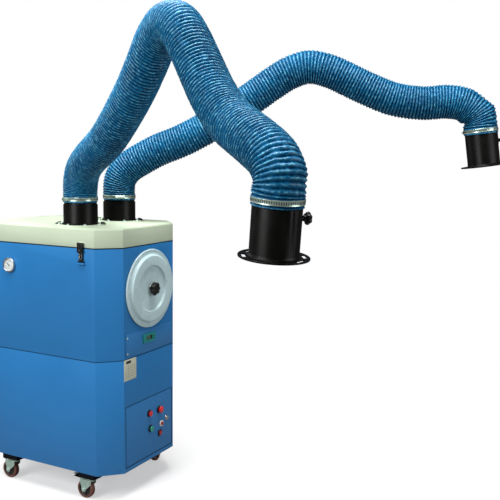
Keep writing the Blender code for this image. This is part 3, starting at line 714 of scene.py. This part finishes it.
def star_knob(radius, low, high, hub_radius, hub_low, lobes):
    """A moulded hand knob: rounded lobes, a dished top and a round hub below."""
    deep = high - low
    crown = [(0.0, high - 0.1 * deep), (radius * 0.3, high - 0.12 * deep), (radius * 0.42, high),
        (radius * 0.8, high - 0.06 * deep), (radius, high - 0.34 * deep), (radius, low + 0.3 * deep),
        (radius * 0.84, low), (0.0, low)]
    lobed = lathe(rounded(crown, 0.12 * radius, 3), lobes * 20,
        wobble=lambda angle: 0.9 + 0.1 * cos(lobes * angle))
    hub = lathe([(0, low + 2), (hub_radius * 1.15, low + 2), (hub_radius, hub_low), (0, hub_low)], 32)
    return joined(lobed, hub)


def build_filter_door():
    centre = box_middle("filter_door")
    place = on_front(centre.x, centre.z)
    rim = (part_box("filter_door")[1].x - centre.x) / MM
    face = [(0, 11.2), (103, 11.2), (108.5, 21.2), (153, 21.2), (161.5, 8.6), (173.5, 8), (rim - 5, 10.2),
        (rim - 0.8, 8), (rim, 5), (rim - 0.5, 1.6)]
    back = [(rim - 4, 1.2), (175, 5), (160, 6.2), (151.5, 19), (110, 19), (104, 9.2), (0, 9.2)]
    profile = rounded(face + back, 3.2, 4)
    piece("filter_door_pressing", lathe(profile, 128), DOOR_GREY, "filter_door", place,
        replaces=("filter_door",))
    gasket = [(rim - 12, 0.1), (rim - 1, 0.1), (rim - 0.8, 2.4), (rim - 12, 3.6)]
    piece("filter_door_gasket", lathe(gasket, 128, closed=True), RUBBER, "filter_door",
        place)
    stud = lathe([(0, 11.8), (5.8, 11.8), (5.8, -19), (0, -19.5)], 24)
    nut = lathe([(5.8, 13.6), (16.5, 13.4), (17, 12.4), (17, 11.2), (5.8, 11.2)], 40, closed=True)
    piece("filter_door_stud", joined(stud, nut), STEEL, "filter_door", place)
    piece("filter_knob_star", star_knob(32.5, 21.5, 46.5, 12.5, 13.8, 7), BLACK_PLASTIC, "filter_knob",
        place, replaces=("filter_knob",))


def build_cartridge():
    """Pleated paper between two pressed end caps."""
    low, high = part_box("filter_cartridge")
    centre = (low + high) / 2
    length = (high.y - low.y) / MM
    place = moved(centre.x, low.y, centre.z) @ FACING_FRONT
    pleats = 72
    paper = lathe([(143, -10), (143, 12 - length), (89, 12 - length), (89, -10)], pleats * 6, closed=True,
        wobble=lambda angle: 1.0 - 0.02 * (1 + cos(pleats * angle)))
    piece("cartridge_pleats", paper, PAPER, "filter_door", place,
        replaces=("filter_cartridge",))
    cap = [(0, 0), (147, 0), (149.5, -2), (149.5, -14), (148, -14), (147, -3), (0, -3)]
    ring = [(87, -length), (147, -length), (149.5, 2 - length), (149.5, 14 - length), (148, 14 - length),
        (147, 3 - length), (87, 3 - length)]
    piece("cartridge_caps", joined(lathe(cap, 96), lathe(ring, 96, closed=True)), BLACK, "filter_door",
        place)


def ring_frame(wide, tall, hole_wide, hole_tall, thick):
    """A flat rectangular frame as one closed ring, standing on z = 0."""
    shape = bmesh.new()
    loops = []
    for across, up, z in ((wide, tall, 0), (wide, tall, thick), (hole_wide, hole_tall, thick),
            (hole_wide, hole_tall, 0)):
        corners = [(x * across / 2, y * up / 2, z) for x, y in ((-1, -1), (1, -1), (1, 1), (-1, 1))]
        loops.append([shape.verts.new(Vector(corner) * MM) for corner in corners])
    skin(shape, *loops, loops[0])
    return finished(shape)


# The bars of a nought: across, up, and whether the bar is upright.
NOUGHT = ((0, 1, 0), (1, 0.5, 1), (1, -0.5, 1), (0, -1, 0), (-1, -0.5, 1), (-1, 0.5, 1))


def noughts(count, width, height):
    """The bars of a row of seven-segment noughts, as (mesh, matrix) pairs."""
    bars = []
    thick = width * 0.17
    for index in range(count):
        middle = (index - (count - 1) / 2) * width * 1.42
        for across, up, upright in NOUGHT:
            size = (thick, height / 2 - thick, 0.6) if upright else (width - thick, thick, 0.6)
            place = shifted(middle + across * (width - thick) / 2, up * (height - thick) / 2, 0)
            bars.append((block(size), place))
    return bars


def build_display():
    low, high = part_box("display_panel")
    middle = (low + high) / 2
    strip = block(((high.x - low.x) / MM, 2, (high.z - low.z) / MM), bevel=0.7)
    piece("display_strip", strip, BLUE, "cabinet",
        moved(middle.x, FRONT_Y - 0.0013, middle.z), replaces=("display_panel",))
    screws = [(pan_screw(5.2, 2.6), shifted(-174, z, 0)) for z in (-36, 36)]
    face = on_front(middle.x, middle.z, 2.3)
    piece("display_screws", joined(*screws), ZINC, "cabinet", face)
    # The instrument sits a little left of the strip's middle.
    on_strip = on_front(CABINET.x - 0.01, 0.731, 2.3)
    thick = 6.4
    piece("display_bezel", ring_frame(96, 41, 46, 21, thick), TEAL, "cabinet", on_strip,
        bevel=0.0016, bevel_steps=3)
    keys = [block((8, 5, 1.6), (35.5, place, thick + 0.3), 0.6) for place in (-8, 3)]
    piece("display_keys", joined(*keys), BLACK_PLASTIC, "cabinet", on_strip)
    piece("display_well", block((50, 26, 2.4), (0, 0, 1.4), 0.4), INK_AND_PAINTED_SHADE, "cabinet",
        on_strip)
    piece("display_window", block((28, 16, 1.2), (-4, 1, 3), 0.4), LCD, "cabinet",
        on_strip)
    piece("display_digits", joined(*noughts(4, 4.6, 9)), INK_AND_PAINTED_SHADE, "cabinet",
        on_strip @ shifted(-4, 1, 3.7))


def build_rating_plate():
    """A blank metal plate: ruled lines and a dark box at the top, held by four rivets."""
    place = on_front(CABINET.x - 0.1525, 0.61, 0.2)
    sheet = block((92, 98, 1), (0, 0, 0.4), 0.4)
    lines = [block((76, 0.8, 0.4), (0, y, 1)) for y in (18, 6, -6, -18, -30)]
    lines += [block((0.8, 48, 0.4), (-12, -6, 1)), block((36, 13, 0.4), (-12, 36, 1))]
    piece("rating_plate", sheet, PLATE, "cabinet", place)
    piece("rating_plate_rules", joined(*lines), INK_AND_PAINTED_SHADE, "cabinet", place)
    rivet = lathe([(0, 1.4), (1.2, 1.2), (1.9, 0.6), (2, 0)], 16)
    corners = [(rivet, shifted(x, y, 0.8)) for x in (-41, 41) for y in (-44, 44)]
    piece("rating_plate_rivets", joined(*corners), STEEL, "cabinet", place)


def build_gauge():
    axis = joint_at("gauge_needle_turn")
    place = moved(LEFT_X - 0.0003, axis.y, axis.z) @ FACING_LEFT
    case = rounded([(0, 6.2), (29.6, 6.2), (29.6, 10.4), (31.8, 11.2), (34.6, 10.4), (35, 7), (35, 2.2),
        (33.2, 0.2), (0, 0)], 1, 3)
    piece("gauge_case", lathe(case, 72), STEEL, "cabinet", place, replaces=("pressure_gauge",))
    piece("gauge_dial", lathe([(0, 6.9), (29.2, 6.9), (29.2, 6.4), (0, 6.4)], 72), DIAL, "cabinet",
        place)
    marks = []
    for index in range(41):
        size = (4.6, 0.7, 0.3) if index % 5 == 0 else (2.6, 0.4, 0.3)
        marks.append((block(size), spun(135 - 270 * index / 40, "Z") @ shifted(26.5 - size[0] / 2, 0, 7)))
    arc = lathe([(27.2, 7.2), (27.6, 7.2), (27.6, 6.9), (27.2, 6.9)], 72, closed=True)
    piece("gauge_scale", joined(*marks, arc), INK_AND_PAINTED_SHADE, "cabinet", place)
    piece("gauge_lens", lathe([(0, 10.2), (29.4, 10), (29.4, 9.5), (0, 9.6)], 72), GLASS, "cabinet",
        place)
    turned = place @ spun(60, "Z")
    blade = slab([(-8, -1.2), (0, -1), (22, -0.3), (22, 0.3), (0, 1), (-8, 1.2)], 7.8, 8.5)
    hub = lathe([(0, 9.2), (2.2, 9), (3, 8.4), (3, 7.4), (0, 7.4)], 24)
    piece("gauge_pointer", joined(blade, hub), INK_AND_PAINTED_SHADE, "gauge_needle", turned,
        replaces=("gauge_needle",))


def build_latches():
    """Toggle latches: a thick handle over a lever, with a wire loop, on a hinge below the cover."""
    for label, side in (("left", -1), ("right", 1)):
        pivot = joint_at(f"{label}_latch_turn")
        wall = CABINET.x + side * (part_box("lower_cabinet")[1].x - CABINET.x)
        outwards = Matrix(((side, 0, 0), (0, side, 0), (0, 0, 1))).to_4x4()
        place = moved(wall, pivot.y, pivot.z) @ outwards
        out = abs(pivot.x - wall) / MM
        lever = [block((4.8, 23, 62), (out + 0.4, 0, 36), 1.4, 3),
            block((9.4, 31, 45.5), (out + 6.4, 0, 63), 3, 3),
            wire([(out, -17, 0), (out, 17, 0)], 3.8, 20)]
        piece(f"{label}_latch_lever", joined(*lever), BLACK_PLASTIC, f"{label}_latch",
            place, replaces=(f"{label}_latch",))
        loop = wire([(out + 4.4, -7, 40), (out + 4.4, -7, 16), (out + 4.4, -4, 12), (out + 4.4, 4, 12),
            (out + 4.4, 7, 16), (out + 4.4, 7, 40)], 1.6, 10)
        pin = wire([(out + 11, 0, 52), (out + 11.6, 0, 52)], 3.4, 20)
        piece(f"{label}_latch_loop", joined(loop, pin), STEEL, f"{label}_latch", place)


def build_control_door():
    low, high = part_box("control_door")
    wide, tall = (high.x - low.x) / MM, (high.z - low.z) / MM
    sheet = block((wide, 3, tall), bevel=0.9, steps=3)
    middle = (low + high) / 2
    piece("control_door_sheet", sheet, BLUE, "control_door",
        moved(middle.x, FRONT_Y + 0.0015, middle.z), replaces=("control_door",))
    # A dark rubber seal that fills the door's gap and stands 0.6 mm proud: partly a seal, partly painted
    # shade of the gap.
    gap_shade_seal = ring_frame(wide + 5.2, tall + 5.2, wide + 1, tall + 1, 3.6)
    piece("control_door_gap_shade_seal", gap_shade_seal, RUBBER, "cabinet", on_front(middle.x, middle.z, -3))
    knuckle = wire([(0, 0, -18), (0, 0, 18)], 1.4, 16)
    hinge = joint_at("control_door_swing")
    hinges = [(knuckle, moved(hinge.x, hinge.y, z)) for z in (middle.z - 0.095, middle.z + 0.095)]
    piece("control_door_hinges", joined(*hinges), BLUE, "control_door")
    ring = [(9.8, 4), (15, 4.6), (17.2, 3.4), (17.5, 0.4), (9.8, 0.4)]
    for node, material, slot in (("stop_button", RED, "red_plastic"),
            ("start_button", GREEN, "green_plastic")):
        place = on_front(box_middle(node).x, box_middle(node).z)
        piece(f"{node}_ring", lathe(rounded(ring, 0.8), 48, closed=True), BLACK_PLASTIC, "control_door",
            place)
        cap = rounded([(0, 12.6), (8, 12.8), (10.5, 13.4), (13.5, 12.2), (13.5, 8.6), (6.6, 8.6),
            (6.6, -25.8), (0, -25.8)], 1, 3)
        piece(f"{node}_cap", lathe(cap, 48), material, node, place, replaces=(node,))
    place = on_front(box_middle("emergency_stop").x, box_middle("emergency_stop").z)
    collar = rounded([(11, 4.4), (15.5, 4.6), (17.2, 3), (17.4, 0.4), (11, 0.4)], 0.8)
    piece("emergency_stop_ring", lathe(collar, 48, closed=True), BLACK_PLASTIC, "control_door",
        place)
    mushroom = rounded([(0, 21.8), (8.5, 21.4), (14, 19.6), (17, 15.6), (16.6, 12.4), (13, 9.2),
        (8.6, 8.6), (8.6, -25.8), (0, -25.8)], 2, 4)
    piece("emergency_stop_mushroom", lathe(mushroom, 64), RED, "emergency_stop", place,
        replaces=("emergency_stop",))
    lens = rounded([(0, 12), (7, 10.8), (10.5, 7), (10.8, 3), (0, 3)], 1.8, 4)
    bezel = rounded([(10.8, 6), (14, 5.6), (15, 3), (15, 0.2), (10.8, 0.2)], 0.8)
    lamp = on_front(CABINET.x + 0.095, 0.281)
    piece("run_lamp_lens", lathe(lens, 48), DARK_RED, "control_door", lamp)
    piece("run_lamp_ring", lathe(bezel, 48, closed=True), WHITE, "control_door", lamp)
    switch = on_front(CABINET.x + 0.081, 0.238)
    piece("switch_frame", block((29, 29, 4.6), (0, 0, 2.4), 1.6, 3), BLACK_PLASTIC, "control_door",
        switch)
    piece("switch_lens", block((21.5, 21.5, 6), (0, 0, 6.2), 1.8, 3), DARK_RED, "control_door",
        switch)
    lock_at = joint_at("door_lock_turn")
    place = on_front(lock_at.x, lock_at.z)
    rose = rounded([(9.2, 4.6), (12, 4.6), (14, 2.6), (14, 0.4), (9.2, 0.4)], 0.8)
    piece("lock_rose", lathe(rose, 48, closed=True), STEEL, "control_door", place)
    plug = lathe(rounded([(1.6, 8.4), (10, 8.4), (11.4, 7), (11.4, 5.2), (8.1, 5), (8.1, -12),
        (1.6, -12)], 0.6), 48, closed=True)
    cam = block((12, 52, 2), (0, -20, -10.5), 0.5)
    piece("lock_plug", joined(plug, cam), STEEL, "door_lock", place, replaces=("door_lock",))
    # Painted shade: the keyhole is filled with a dark slot and plug.
    key_slot_shade = joined(block((1.4, 8, 0.6), (0, 0, 8.5)), lathe([(0, 8), (1.9, 8), (1.9, 1), (0, 1)], 20))
    piece("lock_key_slot_shade", key_slot_shade, INK_AND_PAINTED_SHADE, "door_lock", place)


# ---------------------------------------------------------------- blower and rear
def build_blower():
    softened("blower_housing", ZINC, 0.0012, 2)
    recoat("impeller", ALUMINIUM)
    low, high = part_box("blower_motor")
    centre = (low + high) / 2
    place = moved(centre.x + 0.01, centre.y, low.z)
    fins = 36
    ribs = lathe([(80.5, 176), (80.5, 30), (70, 26), (70, 180)], fins * 8, closed=True,
        wobble=lambda angle: 1.0 - 0.045 * (1 + cos(fins * angle)) / 2)
    shell = lathe(rounded([(0, 266.5), (11.5, 266.5), (11.8, 186.5), (50, 185), (50, 196), (88, 196),
        (88, 187), (74.5, 180), (74.5, 22), (60, 0.4), (0, 0.4)], 2), 64)
    foot = block((220, 220, 6), (0, 0, 3), 1.5)
    terminal = block((60, 70, 70), (-98, 0, 102), 5, 3)
    lid = block((4, 64, 64), (-129, 0, 102), 1.2)
    piece("motor_shell", joined(ribs, shell, foot, terminal, lid), CASTING, "cabinet", place,
        replaces=("blower_motor",))
    heads = [(bolt(6, 5), shifted(x, y, 6)) for x in (-92, 92) for y in (-92, 92)]
    piece("motor_bolts", joined(*heads), STEEL, "cabinet", place)


def build_rear():
    softened("exhaust_grille", BLUE, 0.0008, 2)
    low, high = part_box("exhaust_grille")
    heads = [(pan_screw(4, 2), moved(x, high.y, z) @ spun(-90, "X"))
        for x in (low.x + 0.0065, high.x - 0.0065) for z in (low.z + 0.012, high.z - 0.012)]
    piece("grille_screws", joined(*heads), STEEL, "cabinet")
    softened("cable_gland", BLACK_PLASTIC, 0.0007, 2)


# ---------------------------------------------------------------- casters
WHEEL_R, TRAIL = 44, 26        # the wheels' radius, and how far they trail behind their swivels


def leg_plate(side, braked):
    """One side of the pressed fork: wide at the crown, narrow round the axle, eared for a pedal."""
    outline = [(-16.5, 92.5), (30, 92.5)]
    outline += [(31.5, 96.5), (47.5, 96.5), (47.8, 79)] if braked else [(42.5, 92.5), (44, 80)]
    outline += [(TRAIL + 10.8 * cos(angle), WHEEL_R + 10.8 * sin(angle))
        for angle in [radians(20 - 25 * k) for k in range(9)]]
    outline += [(-14.5, 72)]
    # The slab's outline lies in x and y; the leg's lies in y and z, across the fork.
    upright = Matrix(((0, 0, 1), (1, 0, 0), (0, 1, 0))).to_4x4()
    return slab(outline, side * 19 - 1.4, side * 19 + 1.4), upright


def caster_place(label, at):
    """The frame of a caster's fork, which stands at its own heading."""
    roll = joint_axis(f"caster_roll_{label}")
    return moved(*at) @ basis(roll, Z.cross(roll), Z)


def build_caster(label, braked):
    axis = joint_at(f"caster_swivel_{label}")
    place = caster_place(label, (axis.x, axis.y, 0.0))
    plate = block((60, 84, 3.6), (0, 0, 102.85), 1, 2)
    race = lathe(rounded([(0, 102), (20.8, 102), (21.2, 96.2), (19.5, 94), (0, 94)], 1.5), 40)
    heads = [(bolt(5.2, 4), shifted(x, y, 101) @ spun(180, "X")) for x in (-22.5, 22.5)
        for y in (-33, 33)]
    # A black block over the cabinet's caster pad; its darkness is painted shade under the cabinet.
    pad_painted_shade = block((66.8, 90.8, 24.8), (axis.x / MM, axis.y / MM, 117.5), 1.2)
    piece(f"caster_pad_painted_shade_{label}", pad_painted_shade, RUBBER, "cabinet")
    piece(f"caster_top_{label}", joined(plate, race, *heads), ZINC, "cabinet", place,
        replaces=(f"caster_plate_{label}",))
    crown = lathe(rounded([(0, 93.5), (20, 93.5), (24.2, 92.6), (24.5, 90.5), (23.2, 89.6),
        (0, 89.6)], 1), 40)
    axle = wire([(-23.2, TRAIL, WHEEL_R), (23.2, TRAIL, WHEEL_R)], 4.6, 20)
    nuts = [(bolt(8, 5), shifted(side * 20.4, TRAIL, WHEEL_R) @ spun(90 * side, "Y")) for side in (-1, 1)]
    piece(f"caster_fork_pressing_{label}", joined(crown, leg_plate(-1, braked), leg_plate(1, braked)),
        ZINC, f"caster_fork_{label}", place, bevel=0.0006, replaces=(f"caster_fork_{label}",))
    piece(f"caster_axle_{label}", joined(axle, *nuts), ZINC, f"caster_fork_{label}", place)
    at_axle = place @ shifted(0, TRAIL, WHEEL_R) @ spun(90, "Y")
    tread = rounded([(33, 12), (37.8, 13.5), (42.2, 11.2), (WHEEL_R, 6), (WHEEL_R, -6), (42.2, -11.2),
        (37.8, -13.5), (33, -12)], 2, 4)
    piece(f"caster_tread_{label}", lathe(tread, 72, closed=True), TREAD, f"caster_wheel_{label}",
        at_axle, replaces=(f"caster_wheel_{label}",))
    centre = rounded([(5.6, 12.5), (11, 12.5), (12.5, 7), (28.2, 6), (30.4, 11.5), (33.1, 11.8),
        (33.1, -11.8), (30.4, -11.5), (28.2, -6), (12.5, -7), (11, -12.5), (5.6, -12.5)], 1.2, 3)
    spokes = []
    for face in (-1, 1):
        spoke = block((16.2, 3.2, 3), (0, 0, face * 7.6), 0.8)
        spokes += around(spoke, 6, 20.2)
    piece(f"caster_hub_{label}", joined(lathe(centre, 60, closed=True), *spokes), HUB,
        f"caster_wheel_{label}", at_axle)
    if braked:
        build_pedal(label)


def build_pedal(label):
    pivot = joint_at(f"brake_pedal_press_{label}")
    place = caster_place(label, pivot)
    tilt = spun(5, "X")
    rod = wire([(-17, 0, 0), (17, 0, 0)], 3.8, 20)
    arm = block((29, 50, 2.8), (0, 25, 2.2), 1)
    piece(f"brake_pedal_arm_{label}", joined(rod, (arm, tilt)), BLACK, f"brake_pedal_{label}",
        place, replaces=(f"brake_pedal_{label}",))
    pad = block((26, 16, 6), (0, 50, 4.6), 1.8, 3)
    ribs = [block((22, 1.3, 1), (0, 45 + 3.3 * k, 7.8), 0.4) for k in range(4)]
    piece(f"brake_pedal_pad_{label}", joined((pad, tilt), *[(rib, tilt) for rib in ribs]), WHITE,
        f"brake_pedal_{label}", place)


# ---------------------------------------------------------------- arms
def build_clamp(name, node, body, place, slot_count=72):
    """A worm-drive band: rolled edges, cut slots drawn as dark marks of painted shade, and the screw's
    housing.
    """
    band = [(78.5, 7.8), (79.4, 8), (80, 7.2), (79.6, 6.2), (79.6, -6.2), (80, -7.2), (79.4, -8),
        (78.5, -7.8)]
    # Painted shade: each cut slot is a dark mark in the band.
    slot_painted_shade = block((0.5, 2.8, 8.6), (79.6, 0, 0))
    housing = block((6, 20, 14), (82.2, 0, 0), 1.8, 3)
    screw = wire([(83.4, -22, 0), (83.4, 18, 0)], 3.4, 20)
    head = (bolt(5.2, 6), shifted(83.4, -20, 0) @ spun(90, "X"))
    piece(name, joined(lathe(band, 128, closed=True), housing, screw, head), BAND, body, place,
        replaces=(node,))
    piece(f"{name}_slots", joined(*around(slot_painted_shade, slot_count, 0, 0.06)), INK_AND_PAINTED_SHADE, body, place)


def build_arm_ends(label):
    across = joint_axis(f"wrist_{label}")
    ahead = across.cross(Z)
    upright = basis(ahead, across, Z)
    base = joint_at(f"arm_swivel_{label}")
    on_axis = moved(base.x, base.y, 0) @ upright
    softened(f"collar_{label}", BLACK, 0.0009, 2)
    turned = on_axis @ spun(-70, "Z") @ moved(0, 0, 1.3755)
    build_clamp(f"clamp_lower_band_{label}", f"clamp_lower_{label}", f"swivel_{label}", turned)

    wrist = joint_at(f"wrist_{label}")
    down = (joint_at(f"damper_turn_{label}") - wrist).normalized()
    along = across.cross(-down)
    hood = moved(*wrist) @ basis(along, across, -down)
    softened(f"hood_{label}", BLACK, 0.0009, 2)
    lip = lathe(rounded([(103.5, 5), (105.6, 4.8), (106.2, 2.2), (105.6, -0.4), (103.5, -0.6)], 0.8), 128,
        closed=True)
    seat = lathe(rounded([(74, 12), (77.5, 5), (80, 4), (74, 4)], 0.8), 96, closed=True)
    at_mouth = shifted(0, 0, -268)
    piece(f"hood_rim_{label}", joined((lip, at_mouth), (seat, at_mouth)), BLACK, f"hood_{label}",
        hood)
    build_clamp(f"clamp_upper_band_{label}", f"clamp_upper_{label}", f"hood_{label}",
        hood @ spun(150, "Z") @ shifted(0, 0, -100))
    build_damper(label)


def build_damper(label):
    """A butterfly blade on its spindle, and outside it the star knob, its boss and a bracket."""
    at = joint_at(f"damper_turn_{label}")
    axis = joint_axis(f"damper_turn_{label}")
    up = (joint_at(f"wrist_{label}") - at).normalized()
    place = moved(*at) @ basis(up, axis.cross(up), axis)
    blade = lathe(rounded([(0, 0.8), (67.5, 0.8), (67.5, -0.8), (0, -0.8)], 0.4), 96)
    spindle = wire([(0, 0, -74), (0, 0, 94)], 4, 20)
    piece(f"damper_blade_{label}", joined((blade, spun(90, "Y")), spindle), BLACK, f"damper_{label}",
        place, replaces=(f"damper_{label}",))
    piece(f"damper_knob_{label}", star_knob(20, 93.5, 110.5, 8.5, 87, 6), BLACK_PLASTIC,
        f"damper_{label}", place)
    boss = lathe(rounded([(5.2, 85.5), (8, 85.5), (9.5, 79), (12, 74), (5.2, 73.5)], 0.8), 40,
        closed=True)
    strap = block((64, 22, 2.6), (16, 0, 75.6), 0.8)
    rivets = [(lathe([(0, 2.2), (1.8, 1.8), (3, 0), (0, 0)], 20), shifted(x, 0, 76.8)) for x in (22, 38)]
    piece(f"damper_boss_{label}", joined(boss, strap, *rivets), BLACK, f"hood_{label}",
        place)


def build_links():
    for label in ("left", "right"):
        for node in (f"upper_link_{label}", f"fore_link_{label}"):
            softened(node, ALUMINIUM, 0.0008, 2)


# ---------------------------------------------------------------- camera, light and floor
# The view: focal length in mm, place from the middle of the cabinet's foot, direction, and roll.
LENS, VIEW_ROLL = 56.09, radians(0.697)
VIEW_FROM = Vector((-2.953808, -2.480296, 1.57924))
VIEW_WAY = Vector((0.87775732, 0.46396429, -0.11949572))
# Each lamp's place, side in metres and power in watts.
LAMPS = (("key", (-4.1, 1.2, 3.2), 2.2, 204.0), ("fill", (0.2, -4.6, 2.6), 2.6, 104.0),
    ("top", (-0.5, 0.0, 5.0), 3.0, 400.0), ("back", (0.5, 4.0, 3.4), 2.6, 30.0))


def floor_finish():
    """A pale matt floor that fades into white light away from the object."""
    nodes = Nodes("pale_floor")
    place = nodes.coordinates()
    away = nodes.add("VectorMath", operation="LENGTH")
    nodes.feed(away.inputs[0], place)
    fade = nodes.add("MapRange", interpolation_type="SMOOTHSTEP", Value=away.outputs["Value"])
    for label, number in (("From Min", 0.5), ("From Max", 2.6), ("To Min", 0.45), ("To Max", 1.0)):
        fade.inputs[label].default_value = number
    tint = nodes.spread(nodes.noise(90.0), 0.86, 0.92)
    watched = nodes.add("LightPath").outputs["Is Camera Ray"]
    paint = nodes.add("BsdfDiffuse", Color=nodes.mix(watched, (0.2, 0.2, 0.2, 1.0), tint))
    light = nodes.add("Emission", Strength=1.0)
    seen = nodes.add("Math", operation="MULTIPLY")
    nodes.feed(seen.inputs[0], fade.outputs["Result"])
    nodes.feed(seen.inputs[1], watched)
    both = nodes.add("MixShader")
    for socket, value in zip(both.inputs, (seen.outputs[0], paint.outputs[0], light.outputs[0])):
        nodes.feed(socket, value)
    nodes.feed(nodes.tree.nodes["Material Output"].inputs["Surface"], both.outputs[0])
    return nodes.material


def build_stage():
    sheet = bmesh.new()
    bmesh.ops.create_grid(sheet, x_segments=60, y_segments=60, size=30.0)
    floor = in_scene("floor", finished(sheet))
    floor.data.materials.append(floor_finish())
    world = bpy.data.worlds.new("studio")
    world.use_nodes = True
    tree = world.node_tree
    lit = tree.nodes["Background"]
    seen, path, choose = [tree.nodes.new(f"ShaderNode{kind}") for kind in ("Background", "LightPath",
        "MixShader")]
    for background, strength in ((lit, 0.1), (seen, 1.0)):
        background.inputs["Color"].default_value = (1.0, 1.0, 1.0, 1.0)
        background.inputs["Strength"].default_value = strength
    for socket, source in zip(choose.inputs, (path.outputs["Is Camera Ray"], lit.outputs[0],
            seen.outputs[0])):
        tree.links.new(source, socket)
    tree.links.new(choose.outputs[0], tree.nodes["World Output"].inputs["Surface"])
    bpy.context.scene.world = world
    target = Vector((0.0, 0.0, 1.1))
    for name, at, size, power in LAMPS:
        data = bpy.data.lights.new(name, "AREA")
        data.size = size
        data.energy = power
        lamp = in_scene(name, data)
        lamp.location = at
        lamp.rotation_euler = (target - Vector(at)).to_track_quat("-Z", "Y").to_euler()


def build_camera():
    data = bpy.data.cameras.new("camera")
    data.sensor_width = 36.0
    data.lens = LENS
    camera = in_scene("camera", data)
    level_right = VIEW_WAY.cross(Z).normalized()
    level_up = level_right.cross(VIEW_WAY)
    right = level_right * cos(VIEW_ROLL) + level_up * sin(VIEW_ROLL)
    up = level_up * cos(VIEW_ROLL) - level_right * sin(VIEW_ROLL)
    camera.matrix_world = moved(*(CABINET + VIEW_FROM)) @ basis(right, up, -VIEW_WAY)
    bpy.context.scene.camera = camera


build_camera()
build_stage()
build_cabinet()
build_flange_fasteners()
build_filter_door()
build_cartridge()
build_display()
build_rating_plate()
build_gauge()
build_latches()
build_control_door()
build_blower()
build_rear()
build_links()
for caster in ("front_left", "front_right", "rear_left", "rear_right"):
    build_caster(caster, braked=caster.startswith("front"))
for arm in ("left", "right"):
    build_arm_ends(arm)
    build_hose(arm)

bpy.context.scene.view_settings.view_transform = "Standard"
bpy.context.view_layer.update()
